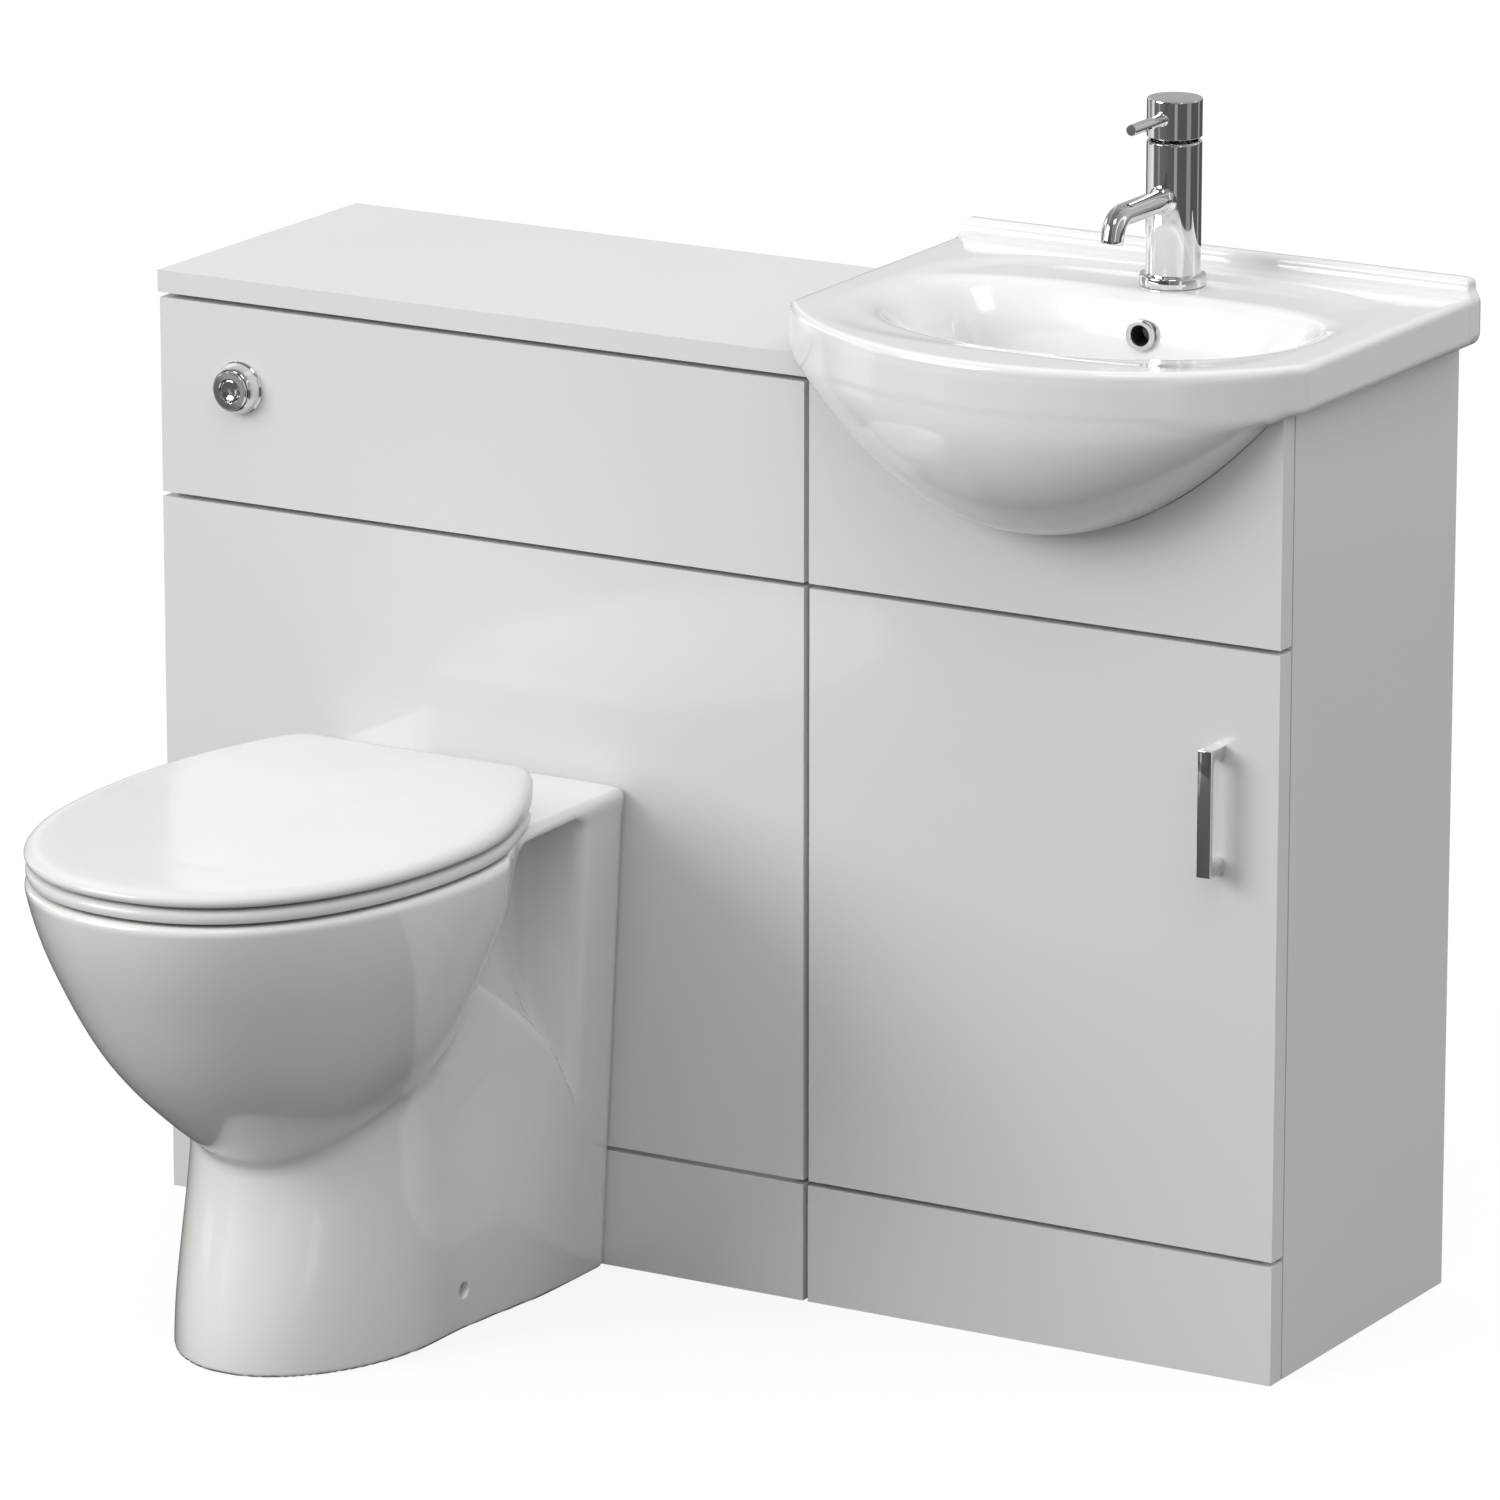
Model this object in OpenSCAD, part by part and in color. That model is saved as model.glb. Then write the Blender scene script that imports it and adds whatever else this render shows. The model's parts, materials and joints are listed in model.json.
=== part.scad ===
// Toilet and basin combination unit: a WC unit with a back-to-wall pan and a
// basin unit with a semi-recessed basin, side by side against a wall.
// Build axes: X to the right from the WC unit's left side, Y = 0 on the front
// faces and positive towards the wall, Z up from the floor. Every module is
// shifted so that the origin is the centre of the footprint on the floor.

/* [Carcass] */
// Width of the WC unit
wc_w = 600; // [590:1:640]
// Width of the basin unit
van_w = 414; // [414:1:440]
// Depth from the front faces to the wall
unit_d = 296; // [292:1:320]
// Height to the top of the worktop
top_h = 768; // [766:1:780]
// Thickness of the boards
board = 18; // [16:1:18]
// Height of both plinths
plinth_h = 96; // [80:1:100]
// Shadow gap between the fronts
front_gap = 4; // [3:0.5:4]
// Height of the fascia's lower edge above the floor
fascia_z = 586; // [580:1:590]

/* [Basin] */
// Width of the basin at the wall
basin_w = 458; // [450:1:466]
// Height of the basin's rim above the worktop
basin_rim = 39; // [37:1:42]
// How far the basin stands in front of the fronts
basin_proj = 110; // [104:1:114]
// Height of the upstand above the rim
upstand_h = 14; // [8:1:20]
// Diameter of the tap hole
tap_hole_d = 35; // [34:0.5:36]

/* [Pan] */
// How far the pan stands in front of the fronts
pan_proj = 527; // [515:1:540]
// Height of the pan's rim
pan_h = 400; // [396:1:404]
// Width of the pan across the rim
pan_w = 350; // [344:1:356]
// Distance between the seat's hinges
hinge_spacing = 155; // [150:1:160]
// Thickness of the seat ring
seat_t = 10.5; // [9:0.5:11]
// Thickness of the lid
lid_t = 11.5; // [11:0.5:12]

/* [Tap] */
// Diameter of the tap's body
tap_d = 43.4; // [42:0.2:45]
// Height of the tap above the basin
tap_h = 146; // [144:1:160]
// Diameter of the spout
spout_d = 18; // [16:1:19]

/* [Fittings] */
// Diameter of the flush button's flange
button_d = 44; // [43:1:48]
// Travel of the flush buttons
button_travel = 6; // [4:1:7]
// Length of the door handle
handle_l = 100; // [90:1:110]
// How far the door handle stands in front of the door
handle_out = 24; // [22:1:26]
// Outside diameter of the soil pipe
soil_d = 110; // [100:1:110]
// Outside diameter of the basin waste pipe
waste_d = 32; // [30:1:34]

/* [Hidden] */
$fn = 48;

// derived places
carc_y = board + 2;                 // front edges of the carcass boards
carc_d = unit_d - carc_y;
slab_z = top_h - board;
door_z0 = plinth_h + front_gap;
door_z1 = fascia_z - front_gap;
wc_x0 = 2; wc_x1 = wc_w - 2;        // edges of the WC fronts
van_x0 = wc_w + 2.5; van_x1 = wc_w + van_w;
bx = wc_w + 204;                    // basin, tap and trap centre line
px = wc_w / 2;                      // pan and cistern centre line
deck_z = top_h + basin_rim;         // top of the basin's rim
waste_y = 95;                       // basin waste
tap_y = 217;
bowl_z = 664;                       // floor of the basin's bowl
btn = [77, 680];                    // flush button, X and Z
ins_z = 320;                        // flush pipe into the pan
out_z = 180;                        // pan outlet
val_y = 212;                        // valves in the cistern
hx = bx + 158.75;                   // door handle
hz = 456;                           // middle of the door handle
cup_z = [180, 502];                 // door hinges
ha = [-106, pan_h + 14];            // seat hinge axis, Y and Z
x_ext = bx + basin_w / 2;           // right-hand end of the object
ox = x_ext / 2;
oy = (unit_d - pan_proj) / 2;

panel_c = "gainsboro"; white_c = "white"; ceramic_c = "whitesmoke"; chrome_c = "silver"; plastic_c = "lightgray"; rubber_c = "dimgray"; steel_c = "lightslategray";

module at() { translate([-ox, -oy, 0]) children(); }
module bx3(p, s) { translate(p) cube(s); }
module cyl_x(p, r, h) { translate(p) rotate([0, 90, 0]) cylinder(r = r, h = h); }
module cyl_y(p, r, h) { translate(p) rotate([-90, 0, 0]) cylinder(r = r, h = h); }
module cyl_z(p, r, h) { translate(p) cylinder(r = r, h = h); }
module tube_z(p, r, ri, h) { translate(p) difference() { cylinder(r = r, h = h); translate([0, 0, -1]) cylinder(r = ri, h = h + 2); } }
module tube_y(p, r, ri, h) { translate(p) rotate([-90, 0, 0]) difference() { cylinder(r = r, h = h); translate([0, 0, -1]) cylinder(r = ri, h = h + 2); } }
// round bar between two points
module bar(p, q, r) {
  d = q - p; l = norm(d);
  translate(p) rotate([0, acos(d[2] / l), atan2(d[1], d[0])]) cylinder(r = r, h = l);
}
module knot(p, r) { translate(p) sphere(r = r); }
// solid through a stack of rings that all have the same number of points
module loft(R) {
  n = len(R[0]); m = len(R);
  polyhedron(points = [for (r = R) for (p = r) p],
    faces = concat([[for (i = [0:n - 1]) i]],
      [for (j = [0:m - 2]) for (i = [0:n - 1]) for (k = [0, 1])
        k == 0 ? [j * n + i, (j + 1) * n + i, (j + 1) * n + (i + 1) % n] : [j * n + i, (j + 1) * n + (i + 1) % n, j * n + (i + 1) % n]],
      [[for (i = [n - 1:-1:0]) (m - 1) * n + i]]), convexity = 8);
}
function smooth(t) = let (u = min(1, max(0, t))) u * u * (3 - 2 * u);
function mix(a, b, t) = a + (b - a) * t;

// ---------------------------------------------------------------- WC carcass
module wc_side_left() color(panel_c) at() bx3([0, carc_y, 0], [board, carc_d, slab_z]);
module wc_side_right() color(panel_c) at() bx3([wc_w - board, carc_y, 0], [board, carc_d, slab_z]);
module wc_worktop() color(panel_c) at() bx3([0, 0, slab_z], [wc_w, unit_d, board]);
module wc_front_rails() color(panel_c) at() {
  bx3([board, carc_y, slab_z - board], [wc_w - 2 * board, 60, board]);
  bx3([board, carc_y, fascia_z - 27], [wc_w - 2 * board, board, 50]);
}
module wc_back_rails() color(panel_c) at() {
  difference() {
    bx3([board, unit_d - board, 600], [wc_w - 2 * board, board, 100]);
    for (x = [100, 500]) cyl_y([x, unit_d - board - 1, 670], 3, board + 2);
  }
  bx3([board, unit_d - board, 20], [wc_w - 2 * board, board, 80]);
}
module wc_fascia() color(panel_c) at() difference() {
  bx3([wc_x0, 0, fascia_z], [wc_x1 - wc_x0, board, slab_z - front_gap - fascia_z]);
  cyl_y([btn[0], -1, btn[1]], 20, board + 2);
}
module wc_lower_panel() color(panel_c) at() difference() {
  bx3([wc_x0, 0, door_z0], [wc_x1 - wc_x0, board, door_z1 - door_z0]);
  cyl_y([px, -1, ins_z], 38, board + 2);
  cyl_y([px, -1, out_z], 65, board + 2);
}
module wc_plinth() color(panel_c) at() bx3([wc_x0, 0, 0], [wc_x1 - wc_x0, board, plinth_h]);

// ------------------------------------------------------------------- cistern
cx0 = px - 182; cx1 = px + 182; cy0 = 146; cy1 = unit_d - board - 1; cz0 = 425; cz1 = 735;
fx = px + 130;                      // fill valve
module cistern_tank() color(white_c) at() difference() {
  bx3([cx0, cy0, cz0], [cx1 - cx0, cy1 - cy0, cz1 - cz0]);
  bx3([cx0 + 3.5, cy0 + 3.5, cz0 + 3.5], [cx1 - cx0 - 7, cy1 - cy0 - 7, cz1]);
  cyl_z([px, val_y, cz0 - 1], 28.5, 6);
  cyl_z([fx, val_y, cz0 - 1], 11.4, 6);
}
module cistern_lid() color(white_c) at() difference() {
  bx3([cx0 - 3, cy0 - 3, cz1 - 8], [cx1 - cx0 + 6, cy1 - cy0 + 3.5, 14]);
  bx3([cx0 - 0.5, cy0 - 0.5, cz1 - 9], [cx1 - cx0 + 1, cy1 - cy0 + 1.5, 9]);
}
module flush_valve_body() color(plastic_c) at() difference() {
  union() {
    cyl_z([px, val_y, cz0 - 40], 28, 44);
    cyl_z([px, val_y, cz0 + 3.5], 38, 4.5);
    tube_z([px, val_y, cz0 + 7], 36, 33, 128);
    tube_z([px, val_y, cz0 + 130], 36, 21, 6);
  }
  cyl_z([px, val_y, cz0 - 41], 22, 60);
  for (a = [0, 90]) translate([px, val_y, cz0 + 12]) rotate([0, 0, a]) bx3([-40, -17, 0], [80, 34, 106]);
}
module flush_valve_tube() color("tomato") at() difference() {
  union() {
    cyl_z([px, val_y, cz0 + 8.4], 30, 6);
    cyl_z([px, val_y, cz0 + 14], 20, 250);
  }
  cyl_z([px, val_y, cz0], 17, 300);
}
module fill_valve() color(plastic_c) at() union() {
  cyl_z([fx, val_y, cz0 - 40], 10.45, 26);
  cyl_z([fx, val_y, cz0 - 14], 10.9, 18);
  cyl_z([fx, val_y, cz0 + 3.5], 18, 5);
  cyl_z([fx, val_y, cz0 + 8], 13, 230);
  cyl_z([fx, val_y, cz0 + 36], 18, 8.6);
  cyl_z([fx, val_y, cz0 + 236], 22, 38);
  cyl_z([fx, val_y + 20, cz0 + 60], 5, 190);
}
module fill_float() color("steelblue") at() difference() {
  cyl_z([fx, val_y, cz0 + 45], 33, 60);
  cyl_z([fx, val_y, cz0 + 44], 13.6, 62);
  bx3([fx - 6, val_y + 14, cz0 + 44], [12, 30, 62]);
}
module cistern_backnuts() color(white_c) at() {
  tube_z([px, val_y, cz0 - 13], 38, 28.05, 12.5);
  tube_z([fx, val_y, cz0 - 13], 17, 10.95, 12.5);
  difference() {
    cyl_z([px, val_y, cz0 - 44.6], 34, 16.6);
    cyl_z([px, val_y, cz0 - 40.4], 28.05, 20);
    cyl_z([px, val_y, cz0 - 60], 22.1, 40);
  }
}
module pipe_run(r) {
  y1 = val_y - 60;
  cyl_z([px, val_y, ins_z + 60], r, cz0 - 40.5 - ins_z - 60);
  translate([px, y1, ins_z + 60]) rotate([-90, 0, 90]) rotate_extrude(angle = 90) translate([60, 0]) circle(r = r);
  cyl_y([px, -18, ins_z], r, y1 + 18);
}
module flush_pipe() color(white_c) at() difference() {
  pipe_run(22);
  pipe_run(19.5);
  cyl_z([px, val_y, cz0 - 45], 19.5, 10);
  cyl_y([px, -20, ins_z], 19.5, 10);
}
module flush_cone() color(rubber_c) at() difference() {
  union() {
    cyl_y([px, -24, ins_z], 27.4, 24.4);
    cyl_y([px, 0.4, ins_z], 33, 7);
  }
  cyl_y([px, -25, ins_z], 22.05, 40);
}
module pan_connector() color(white_c) at() difference() {
  union() {
    cyl_y([px, 1, out_z], 62, 60);
    cyl_y([px, 60, out_z], soil_d / 2, unit_d - 60);
  }
  cyl_y([px, 0, out_z], 51.6, 36);
  cyl_y([px, 0, out_z], soil_d / 2 - 4, unit_d + 1);
}

// -------------------------------------------------------------- flush button
module on_btn() translate([btn[0], 0, btn[1]]) rotate([90, 0, 0]) children();   // local +Z points out of the front
module button_bezel() color(chrome_c) at() on_btn() rotate_extrude()
  polygon([[16.4, -40], [19.5, -40], [19.5, 0], [button_d / 2, 0], [button_d / 2, 1.2], [button_d / 2 - 1.2, 2.2], [20.4, 2.6], [19.8, 6], [18.6, 10], [17.4, 12.4], [16.4, 13]]);
module button_nut() color(plastic_c) at() on_btn() rotate_extrude() polygon([[19.55, -27], [28, -27], [28, -18.3], [19.55, -18.3]]);
module air_pump_housing() color(plastic_c) at() on_btn() difference() {
  union() {
    translate([0, 0, -88]) cylinder(r = 24, h = 52);
    for (x = [-9, 9]) translate([x, 0, -104]) cylinder(r = 2.5, h = 18);
  }
  translate([0, 0, -41]) cylinder(r = 19.55, h = 10);
  translate([0, 0, -84]) cylinder(r = 16.4, h = 50);
  for (x = [-9, 9]) translate([x, 0, -105]) cylinder(r = 1.2, h = 25);
}
module full_flush_button() color(chrome_c) at() on_btn() rotate_extrude()
  polygon([[9.3, -16 - button_travel], [15.9, -16 - button_travel], [15.9, 13.6], [15, 14.6], [12, 15], [9.9, 14.7], [9.3, 14.2]]);
module half_flush_button() color(chrome_c) at() on_btn() rotate_extrude()
  polygon([[0, -20 - button_travel], [8.9, -20 - button_travel], [8.9, 13.6], [8.2, 14.4], [5, 14.8], [0, 15]]);

// ----------------------------------------------------------------------- pan
// half-length to the front and half-width of the bowl's outside at height z
bowl_c = -270;
k_w = (pan_w / 2) / (pan_proj + bowl_c);
function bowl_f(z) = (pan_proj + bowl_c) / 257 * lookup(z * 400 / pan_h, [[160, 80], [170, 92], [180, 107], [200, 130], [222, 153], [250, 179], [277, 198], [311, 219], [348, 240], [372, 252], [391, 257], [397, 256], [400, 252]]);
function bowl_b(z) = 0.62 * bowl_f(z);
function ell(v) = v >= 1 ? 0 : sqrt(1 - v * v);
function w_bowl(y, z) = z < 160 ? 0 : let (f = bowl_f(z), b = bowl_b(z)) k_w * f * (y < bowl_c ? ell((bowl_c - y) / f) : ell((y - bowl_c) / b));
// outline of the foot: front tip and half-width
function foot_y(z) = -383 + 34 * smooth(z / 190) * 1.0;
function w_foot(y, z) = let (t = foot_y(z), l = -230 - t, w = 108 - 6 * smooth(z / 200))
  y < -230 ? w * ell((-230 - y) / l) : y < -20 ? w + (8 * (y + 230) / 210) : w + 8 - 8 * pow((y + 20) / 20, 2);
function arch_z(y) = 145 + 1.07 * max(0, -59 - y);
function w_skirt(y, z) = z > 330 ? 0 : mix(w_foot(y, z), 60, smooth((z - arch_z(y) + 14) / 28));
function w_web(y, z) = y < -250 ? 0 : 60;
function w_flange(y, z) = y < -66 ? 0 : let (w = 118 + 21 * z / pan_h) y > -18 ? w - 14 * pow((y + 18) / 18, 2) : w - 5 * smooth((-60 - y) / 8);
function w_shelf(y, z) = z < pan_h - 22 ? 0 : y < -215 ? 0 : let (w = 139 - 6 * smooth((z - pan_h + 6) / 6)) y > -25 ? w - 27 * pow((y + 25) / 25, 2) : w;
function pan_w_at(y, z) = max(w_bowl(y, z), w_skirt(y, z), w_web(y, z), w_flange(y, z), w_shelf(y, z));
function pan_front(z) = z < 160 ? foot_y(z) : min(foot_y(min(z, 330)) + (z > 330 ? 400 : 0), bowl_c - bowl_f(z));
rear_y = [-215, -200, -180, -160, -140, -120, -100, -82, -70, -66.1, -66, -60, -40, -25, -18, -9, -3, 0];
function pan_side(z) = let (t = pan_front(z)) concat(
  [for (i = [1:14]) let (y = t + (-230 - t) * (1 - cos(90 * i / 14))) [pan_w_at(y, z), y]],
  [for (y = rear_y) [pan_w_at(y, z), y]]);
function pan_ring(z) = let (s = pan_side(z), n = len(s)) concat(
  [[px, pan_front(z), z]], [for (p = s) [px + p[0], p[1], z]], [for (i = [n - 1:-1:0]) [px - s[i][0], s[i][1], z]]);
pan_levels = [0, 50, 100, 130, 150, 160, 170, 180, 200, 222, 250, 277, 300, 325, 350, pan_h - 22.1, pan_h - 22, pan_h - 9, pan_h - 3, pan_h];
// inside of the bowl: half-width, front and back at stations of height
function in_s(z) = lookup(z, [[128, 0.32], [140, 0.40], [170, 0.50], [210, 0.60], [260, 0.72], [310, 0.84], [350, 0.93], [pan_h - 14, 0.985], [pan_h + 2, 1]]);
function in_c(z) = lookup(z, [[128, -262], [200, -268], [300, -300], [pan_h + 2, -325]]);
function in_ring(z, g) = let (s = in_s(z), c = in_c(z)) [for (i = [0:31]) let (a = i * 360 / 32, x = cos(a), y = sin(a))
  [px + (112 * s + g) * x, c + ((y < 0 ? 145 : 128) * s + g) * y, z]];
module bowl_in(g, zb) loft([for (z = concat([zb], [for (q = [150, 180, 215, 260, 300, 340, 370, 388]) q], [pan_h + 1])) in_ring(z, g)]);
// centre line of the trapway as Y and Z: down from the bowl's sump, over the weir, down to the outlet
trap_p = [[-276, 150], [-262, 124], [-236, 109], [-206, 112], [-182, 136], [-164, 170], [-146, 202], [-122, 218], [-98, 214], [-78, 196], [-58, out_z + 2], [-40, out_z], [8, out_z]];
function smooth_path(P, k) = let (n = len(P)) concat([for (i = [0:n - 2]) for (j = [0:k - 1]) let (t = j / k,
  a = P[max(0, i - 1)], b = P[i], c = P[i + 1], d = P[min(n - 1, i + 2)])
  0.5 * (2 * b + t * (c - a) + t * t * (2 * a - 5 * b + 4 * c - d) + t * t * t * (3 * b - a - 3 * c + d))], [P[n - 1]]);
// pipe along a path in the centre plane
module sweep(P, r, sides = 16) loft([for (i = [0:len(P) - 1]) let (d = P[min(len(P) - 1, i + 1)] - P[max(0, i - 1)], t = d / norm(d))
  [for (j = [0:sides - 1]) let (a = (j + 0.5) * 360 / sides, q = r / cos(90 / sides)) [px + q * cos(a), P[i][0] + q * sin(a) * t[1], P[i][1] - q * sin(a) * t[0]]]]);
module pan_shell() {
  difference() {
    union() {
      difference() {
        loft([for (z = pan_levels) pan_ring(z)]);
        // the foot and the back are hollow
        translate([px, 0, -1]) linear_extrude(140) polygon(concat(
          [for (i = [0:8]) [93 * sin(90 * i / 8), -230 - 113 * cos(90 * i / 8)]], [[96, -120], [96, 1], [-96, 1], [-96, -120]],
          [for (i = [8:-1:1]) [-93 * sin(90 * i / 8), -230 - 113 * cos(90 * i / 8)]]));
        bx3([px - 49, -178, 130], [98, 180, pan_h - 22 - 130]);
        for (s = [-1, 1]) bx3([px + s * 79 - 18, -51, 130], [36, 53, pan_h - 34 - 130]);
      }
      intersection() { loft([for (z = pan_levels) pan_ring(z)]); bowl_in(11, 119); }
      sweep(smooth_path([for (i = [1:12]) trap_p[i]], 1), 44);
      cyl_y([px, -206, ins_z], 35, 160, $fn = 24);
    }
    bowl_in(0, 128);
    sweep(smooth_path(trap_p, 1), 36);
    bar([px, -60, ins_z], [px, -230, ins_z + 6], 22, $fn = 20);
  }
}
module pan() color(ceramic_c) at() difference() {
  union() {
    resize([0, 0, 0]) pan_shell();
    cyl_y([px, -44, out_z], 51, 64);
    cyl_y([px, -56, ins_z], 35.8, 55.9);
  }
  cyl_y([px, -38, out_z], 43, 70);
  cyl_y([px, -70, ins_z], 27.5, 75);
  for (s = [-1, 1]) {
    cyl_z([px + s * hinge_spacing / 2, -112, pan_h - 30], 7.5, 40);
    cyl_x([px + s * 104 - 16, -195, 32], 5, 32);
  }
}

// -------------------------------------------------------------- seat and lid
// outline of the lid and seat: half-width at Y
function w_lid(y) = y < -270 ? 172 * pow(max(0, 1 - pow((-270 - y) / (pan_proj - 273), 2.25)), 1 / 2.2)
  : lookup(y, [[-270, 172], [-250, 170.5], [-230, 167.5], [-210, 162.5], [-190, 156], [-170, 148.5], [-150, 140], [-130, 130], [-115, 121.5], [-104, 113.5], [-98, 107.5], [-94, 101]]);
function lid_side(g) = [for (i = [0:40]) let (t = i / 40, y0 = -(pan_proj - 3), y1 = -94, y = i < 24 ? y0 + (-270 - y0) * (1 - cos(90 * i / 24)) : -270 + (y1 + 270) * (i - 24) / 16)
  [max(0, w_lid(y)), y]];
// the outline drawn in by g on all sides
function inset(p, g) = [for (q = p) let (c = [0, -280], d = q - c, n = norm(d)) c + d * (n - g) / n];
module d_shape(g) polygon(concat([for (q = inset(lid_side(0), g)) [px + q[0], q[1]]], [let (s = inset(lid_side(0), g)) for (i = [len(s) - 1:-1:1]) [px - s[i][0], s[i][1]]]));
seat_z0 = pan_h + 2.5; lid_z0 = pan_h + 15.5; lid_rise = 9.5;
module seat() color(white_c) at() difference() {
  union() {
    difference() {
      translate([0, 0, seat_z0]) linear_extrude(seat_t) d_shape(1);
      // hole of the ring
      translate([px, -330, seat_z0 - 1]) linear_extrude(seat_t + 2) polygon([for (i = [0:47]) let (a = 7.5 * i) [106 * cos(a), (sin(a) < 0 ? 134 : 122) * sin(a)]]);
      // room for the hinges behind the ring
      bx3([px - 180, -127, seat_z0 - 1], [360, 60, seat_t + 2]);
    }
    for (s = [-1, 1]) {
      bx3([px + s * 97 - 6, -130, seat_z0], [12, 24, seat_t]);
      cyl_x([px + s * 97 - 6, ha[0], ha[1]], 7.5, 12);
    }
  }
  cyl_x([px - 120, ha[0], ha[1]], 4.05, 240);
}
// layer of the lid, which rises at the back to clear the hinges
module lid_layer(za, zb, g) intersection() {
  translate([0, 0, lid_z0 + za]) linear_extrude(zb - za + lid_rise + 2) d_shape(g);
  translate([px - 200, 0, lid_z0]) rotate([90, 0, 90]) linear_extrude(400)
    polygon([[-600, -5], [-600, zb], [-281, zb], [-80, zb + lid_rise * 1.08], [-80, -5]]);
}
module lid() color(white_c) at() difference() {
  union() {
    difference() {
      union() {
        translate([0, 0, lid_z0]) linear_extrude(6) d_shape(0);
        lid_layer(5.9, 9.1, 2.5);
        lid_layer(9, lid_t, 7);
      }
      translate([0, 0, lid_z0 - 1]) linear_extrude(6.5) d_shape(14);
      for (s = [-1, 1]) bx3([px + s * 77.5 - 28, -120, lid_z0 - 1], [56, 40, 8.6]);
    }
    for (s = [-1, 1]) {
      cyl_x([px + s * 58 - 6, ha[0], ha[1]], 7.5, 12);
      bx3([px + s * 58 - 6, ha[0] - 6, ha[1]], [12, 12, lid_z0 + 8 - ha[1]]);
    }
  }
  cyl_x([px - 120, ha[0], ha[1]], 4.05, 240);
}
module seat_hinge_posts() color(chrome_c) at() for (s = [-1, 1]) difference() {
  union() {
    cyl_x([px + s * 77.5 - 11, ha[0], ha[1]], 7.5, 22);
    bx3([px + s * 77.5 - 11, ha[0] - 7, pan_h], [22, 14, 14]);
    cyl_z([px + s * hinge_spacing / 2, -112, pan_h], 12, 4);
  }
  cyl_x([px + s * 77.5 - 12, ha[0], ha[1]], 4.02, 24);
  cyl_z([px + s * hinge_spacing / 2, -112, pan_h - 1], 3.05, 9);
}
module seat_hinge_pins() color(steel_c) at() for (s = [-1, 1]) cyl_x([px + s * 77.5 - 26.5, ha[0], ha[1]], 4, 53);
module seat_bolts() color(steel_c) at() for (s = [-1, 1]) {
  cyl_z([px + s * hinge_spacing / 2, -112, pan_h - 54], 3, 61);
  difference() {
    union() {
      cyl_z([px + s * hinge_spacing / 2, -112, pan_h - 27.5], 12, 5);
      cyl_z([px + s * hinge_spacing / 2, -112, pan_h - 40], 7, 13);
      bx3([px + s * hinge_spacing / 2 - 14, -114, pan_h - 40], [28, 4, 9]);
    }
    cyl_z([px + s * hinge_spacing / 2, -112, pan_h - 41], 3.02, 20);
  }
}
module seat_buffers() color(rubber_c) at() for (s = [-1, 1]) {
  cyl_z([px + s * 138, -300, pan_h + 0.3], 8, 2.2);
  cyl_z([px + s * 98, -440, pan_h + 0.3], 8, 2.2);
}
module lid_buffers() color(rubber_c) at() for (s = [-1, 1]) {
  cyl_z([px + s * 132, -290, pan_h + 13.3], 6, 7.7);
  cyl_z([px + s * 95, -430, pan_h + 13.3], 6, 7.7);
}
module floor_brackets() color(steel_c) at() for (s = [-1, 1]) difference() {
  union() {
    bx3([px + (s > 0 ? 90 : -93), -215, 0], [3, 40, 60]);
    bx3([px + (s > 0 ? 55 : -93), -215, 0], [38, 40, 3]);
  }
  cyl_z([px + s * 75, -195, -1], 4, 6);
  cyl_x([px + s * 91.5 - 4, -195, 32], 3.2, 8);
}
module pan_side_screws() color(steel_c) at() for (s = [-1, 1]) {
  cyl_x([px + (s > 0 ? 80 : -97), -195, 32], 3, 17);
  cyl_x([px + (s > 0 ? 96.3 : -100), -195, 32], 4.4, 3.7);
}

// ------------------------------------------------------------- basin carcass
module vanity_side_left() color(panel_c) at() bx3([wc_w, carc_y, 0], [board, carc_d, top_h]);
module vanity_side_right() color(panel_c) at() bx3([van_x1 - board, carc_y, 0], [board, carc_d, top_h]);
module vanity_base() color(panel_c) at() bx3([wc_w + board, carc_y, door_z0], [van_w - 2 * board, carc_d - board, board]);
module vanity_front_rail() color(panel_c) at() bx3([wc_w + board, carc_y, 572], [van_w - 2 * board, 40, board]);
module vanity_back_rails() color(panel_c) at() {
  difference() {
    bx3([wc_w + board, unit_d - board, 560], [van_w - 2 * board, board, 100]);
    for (s = [-1, 1]) cyl_y([bx + 3 + s * 130, unit_d - board - 1, 630], 3, board + 2);
  }
  bx3([wc_w + board, unit_d - board, 20], [van_w - 2 * board, board, 60]);
}
module vanity_fascia() color(panel_c) at() difference() {
  bx3([van_x0, 0, fascia_z], [van_x1 - van_x0, board, top_h - 2 - fascia_z]);
  // cut-out that follows the bowl with a 2 mm gap
  translate([bx, board + 1, 0]) rotate([90, 0, 0]) linear_extrude(board + 2)
    polygon(concat([for (i = [-20:20]) let (x = belly_w * i / 20) [x, belly(x) - 2]], [[belly_w, top_h + 20], [-belly_w, top_h + 20]]));
}
module vanity_door() color(panel_c) at() difference() {
  bx3([van_x0, 0, door_z0], [van_x1 - van_x0, board, door_z1 - door_z0]);
  // edge rounded about the hinge line
  difference() {
    bx3([van_x0 - 0.1, -0.1, door_z0 - 1], [2.1, 2.1, door_z1 - door_z0 + 2]);
    cyl_z([van_x0 + 2, 2, door_z0 - 2], 2.2, door_z1 - door_z0 + 4);
  }
  for (z = cup_z) cyl_y([van_x0 + 22.5, board - 12.5, z], 17.5, 20);
  for (s = [-1, 1]) cyl_y([hx, -1, hz + s * (handle_l / 2 - 7)], 2.4, board + 2);
}
module vanity_plinth() color(panel_c) at() bx3([van_x0, 0, 0], [van_x1 - van_x0, board, plinth_h]);
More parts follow.
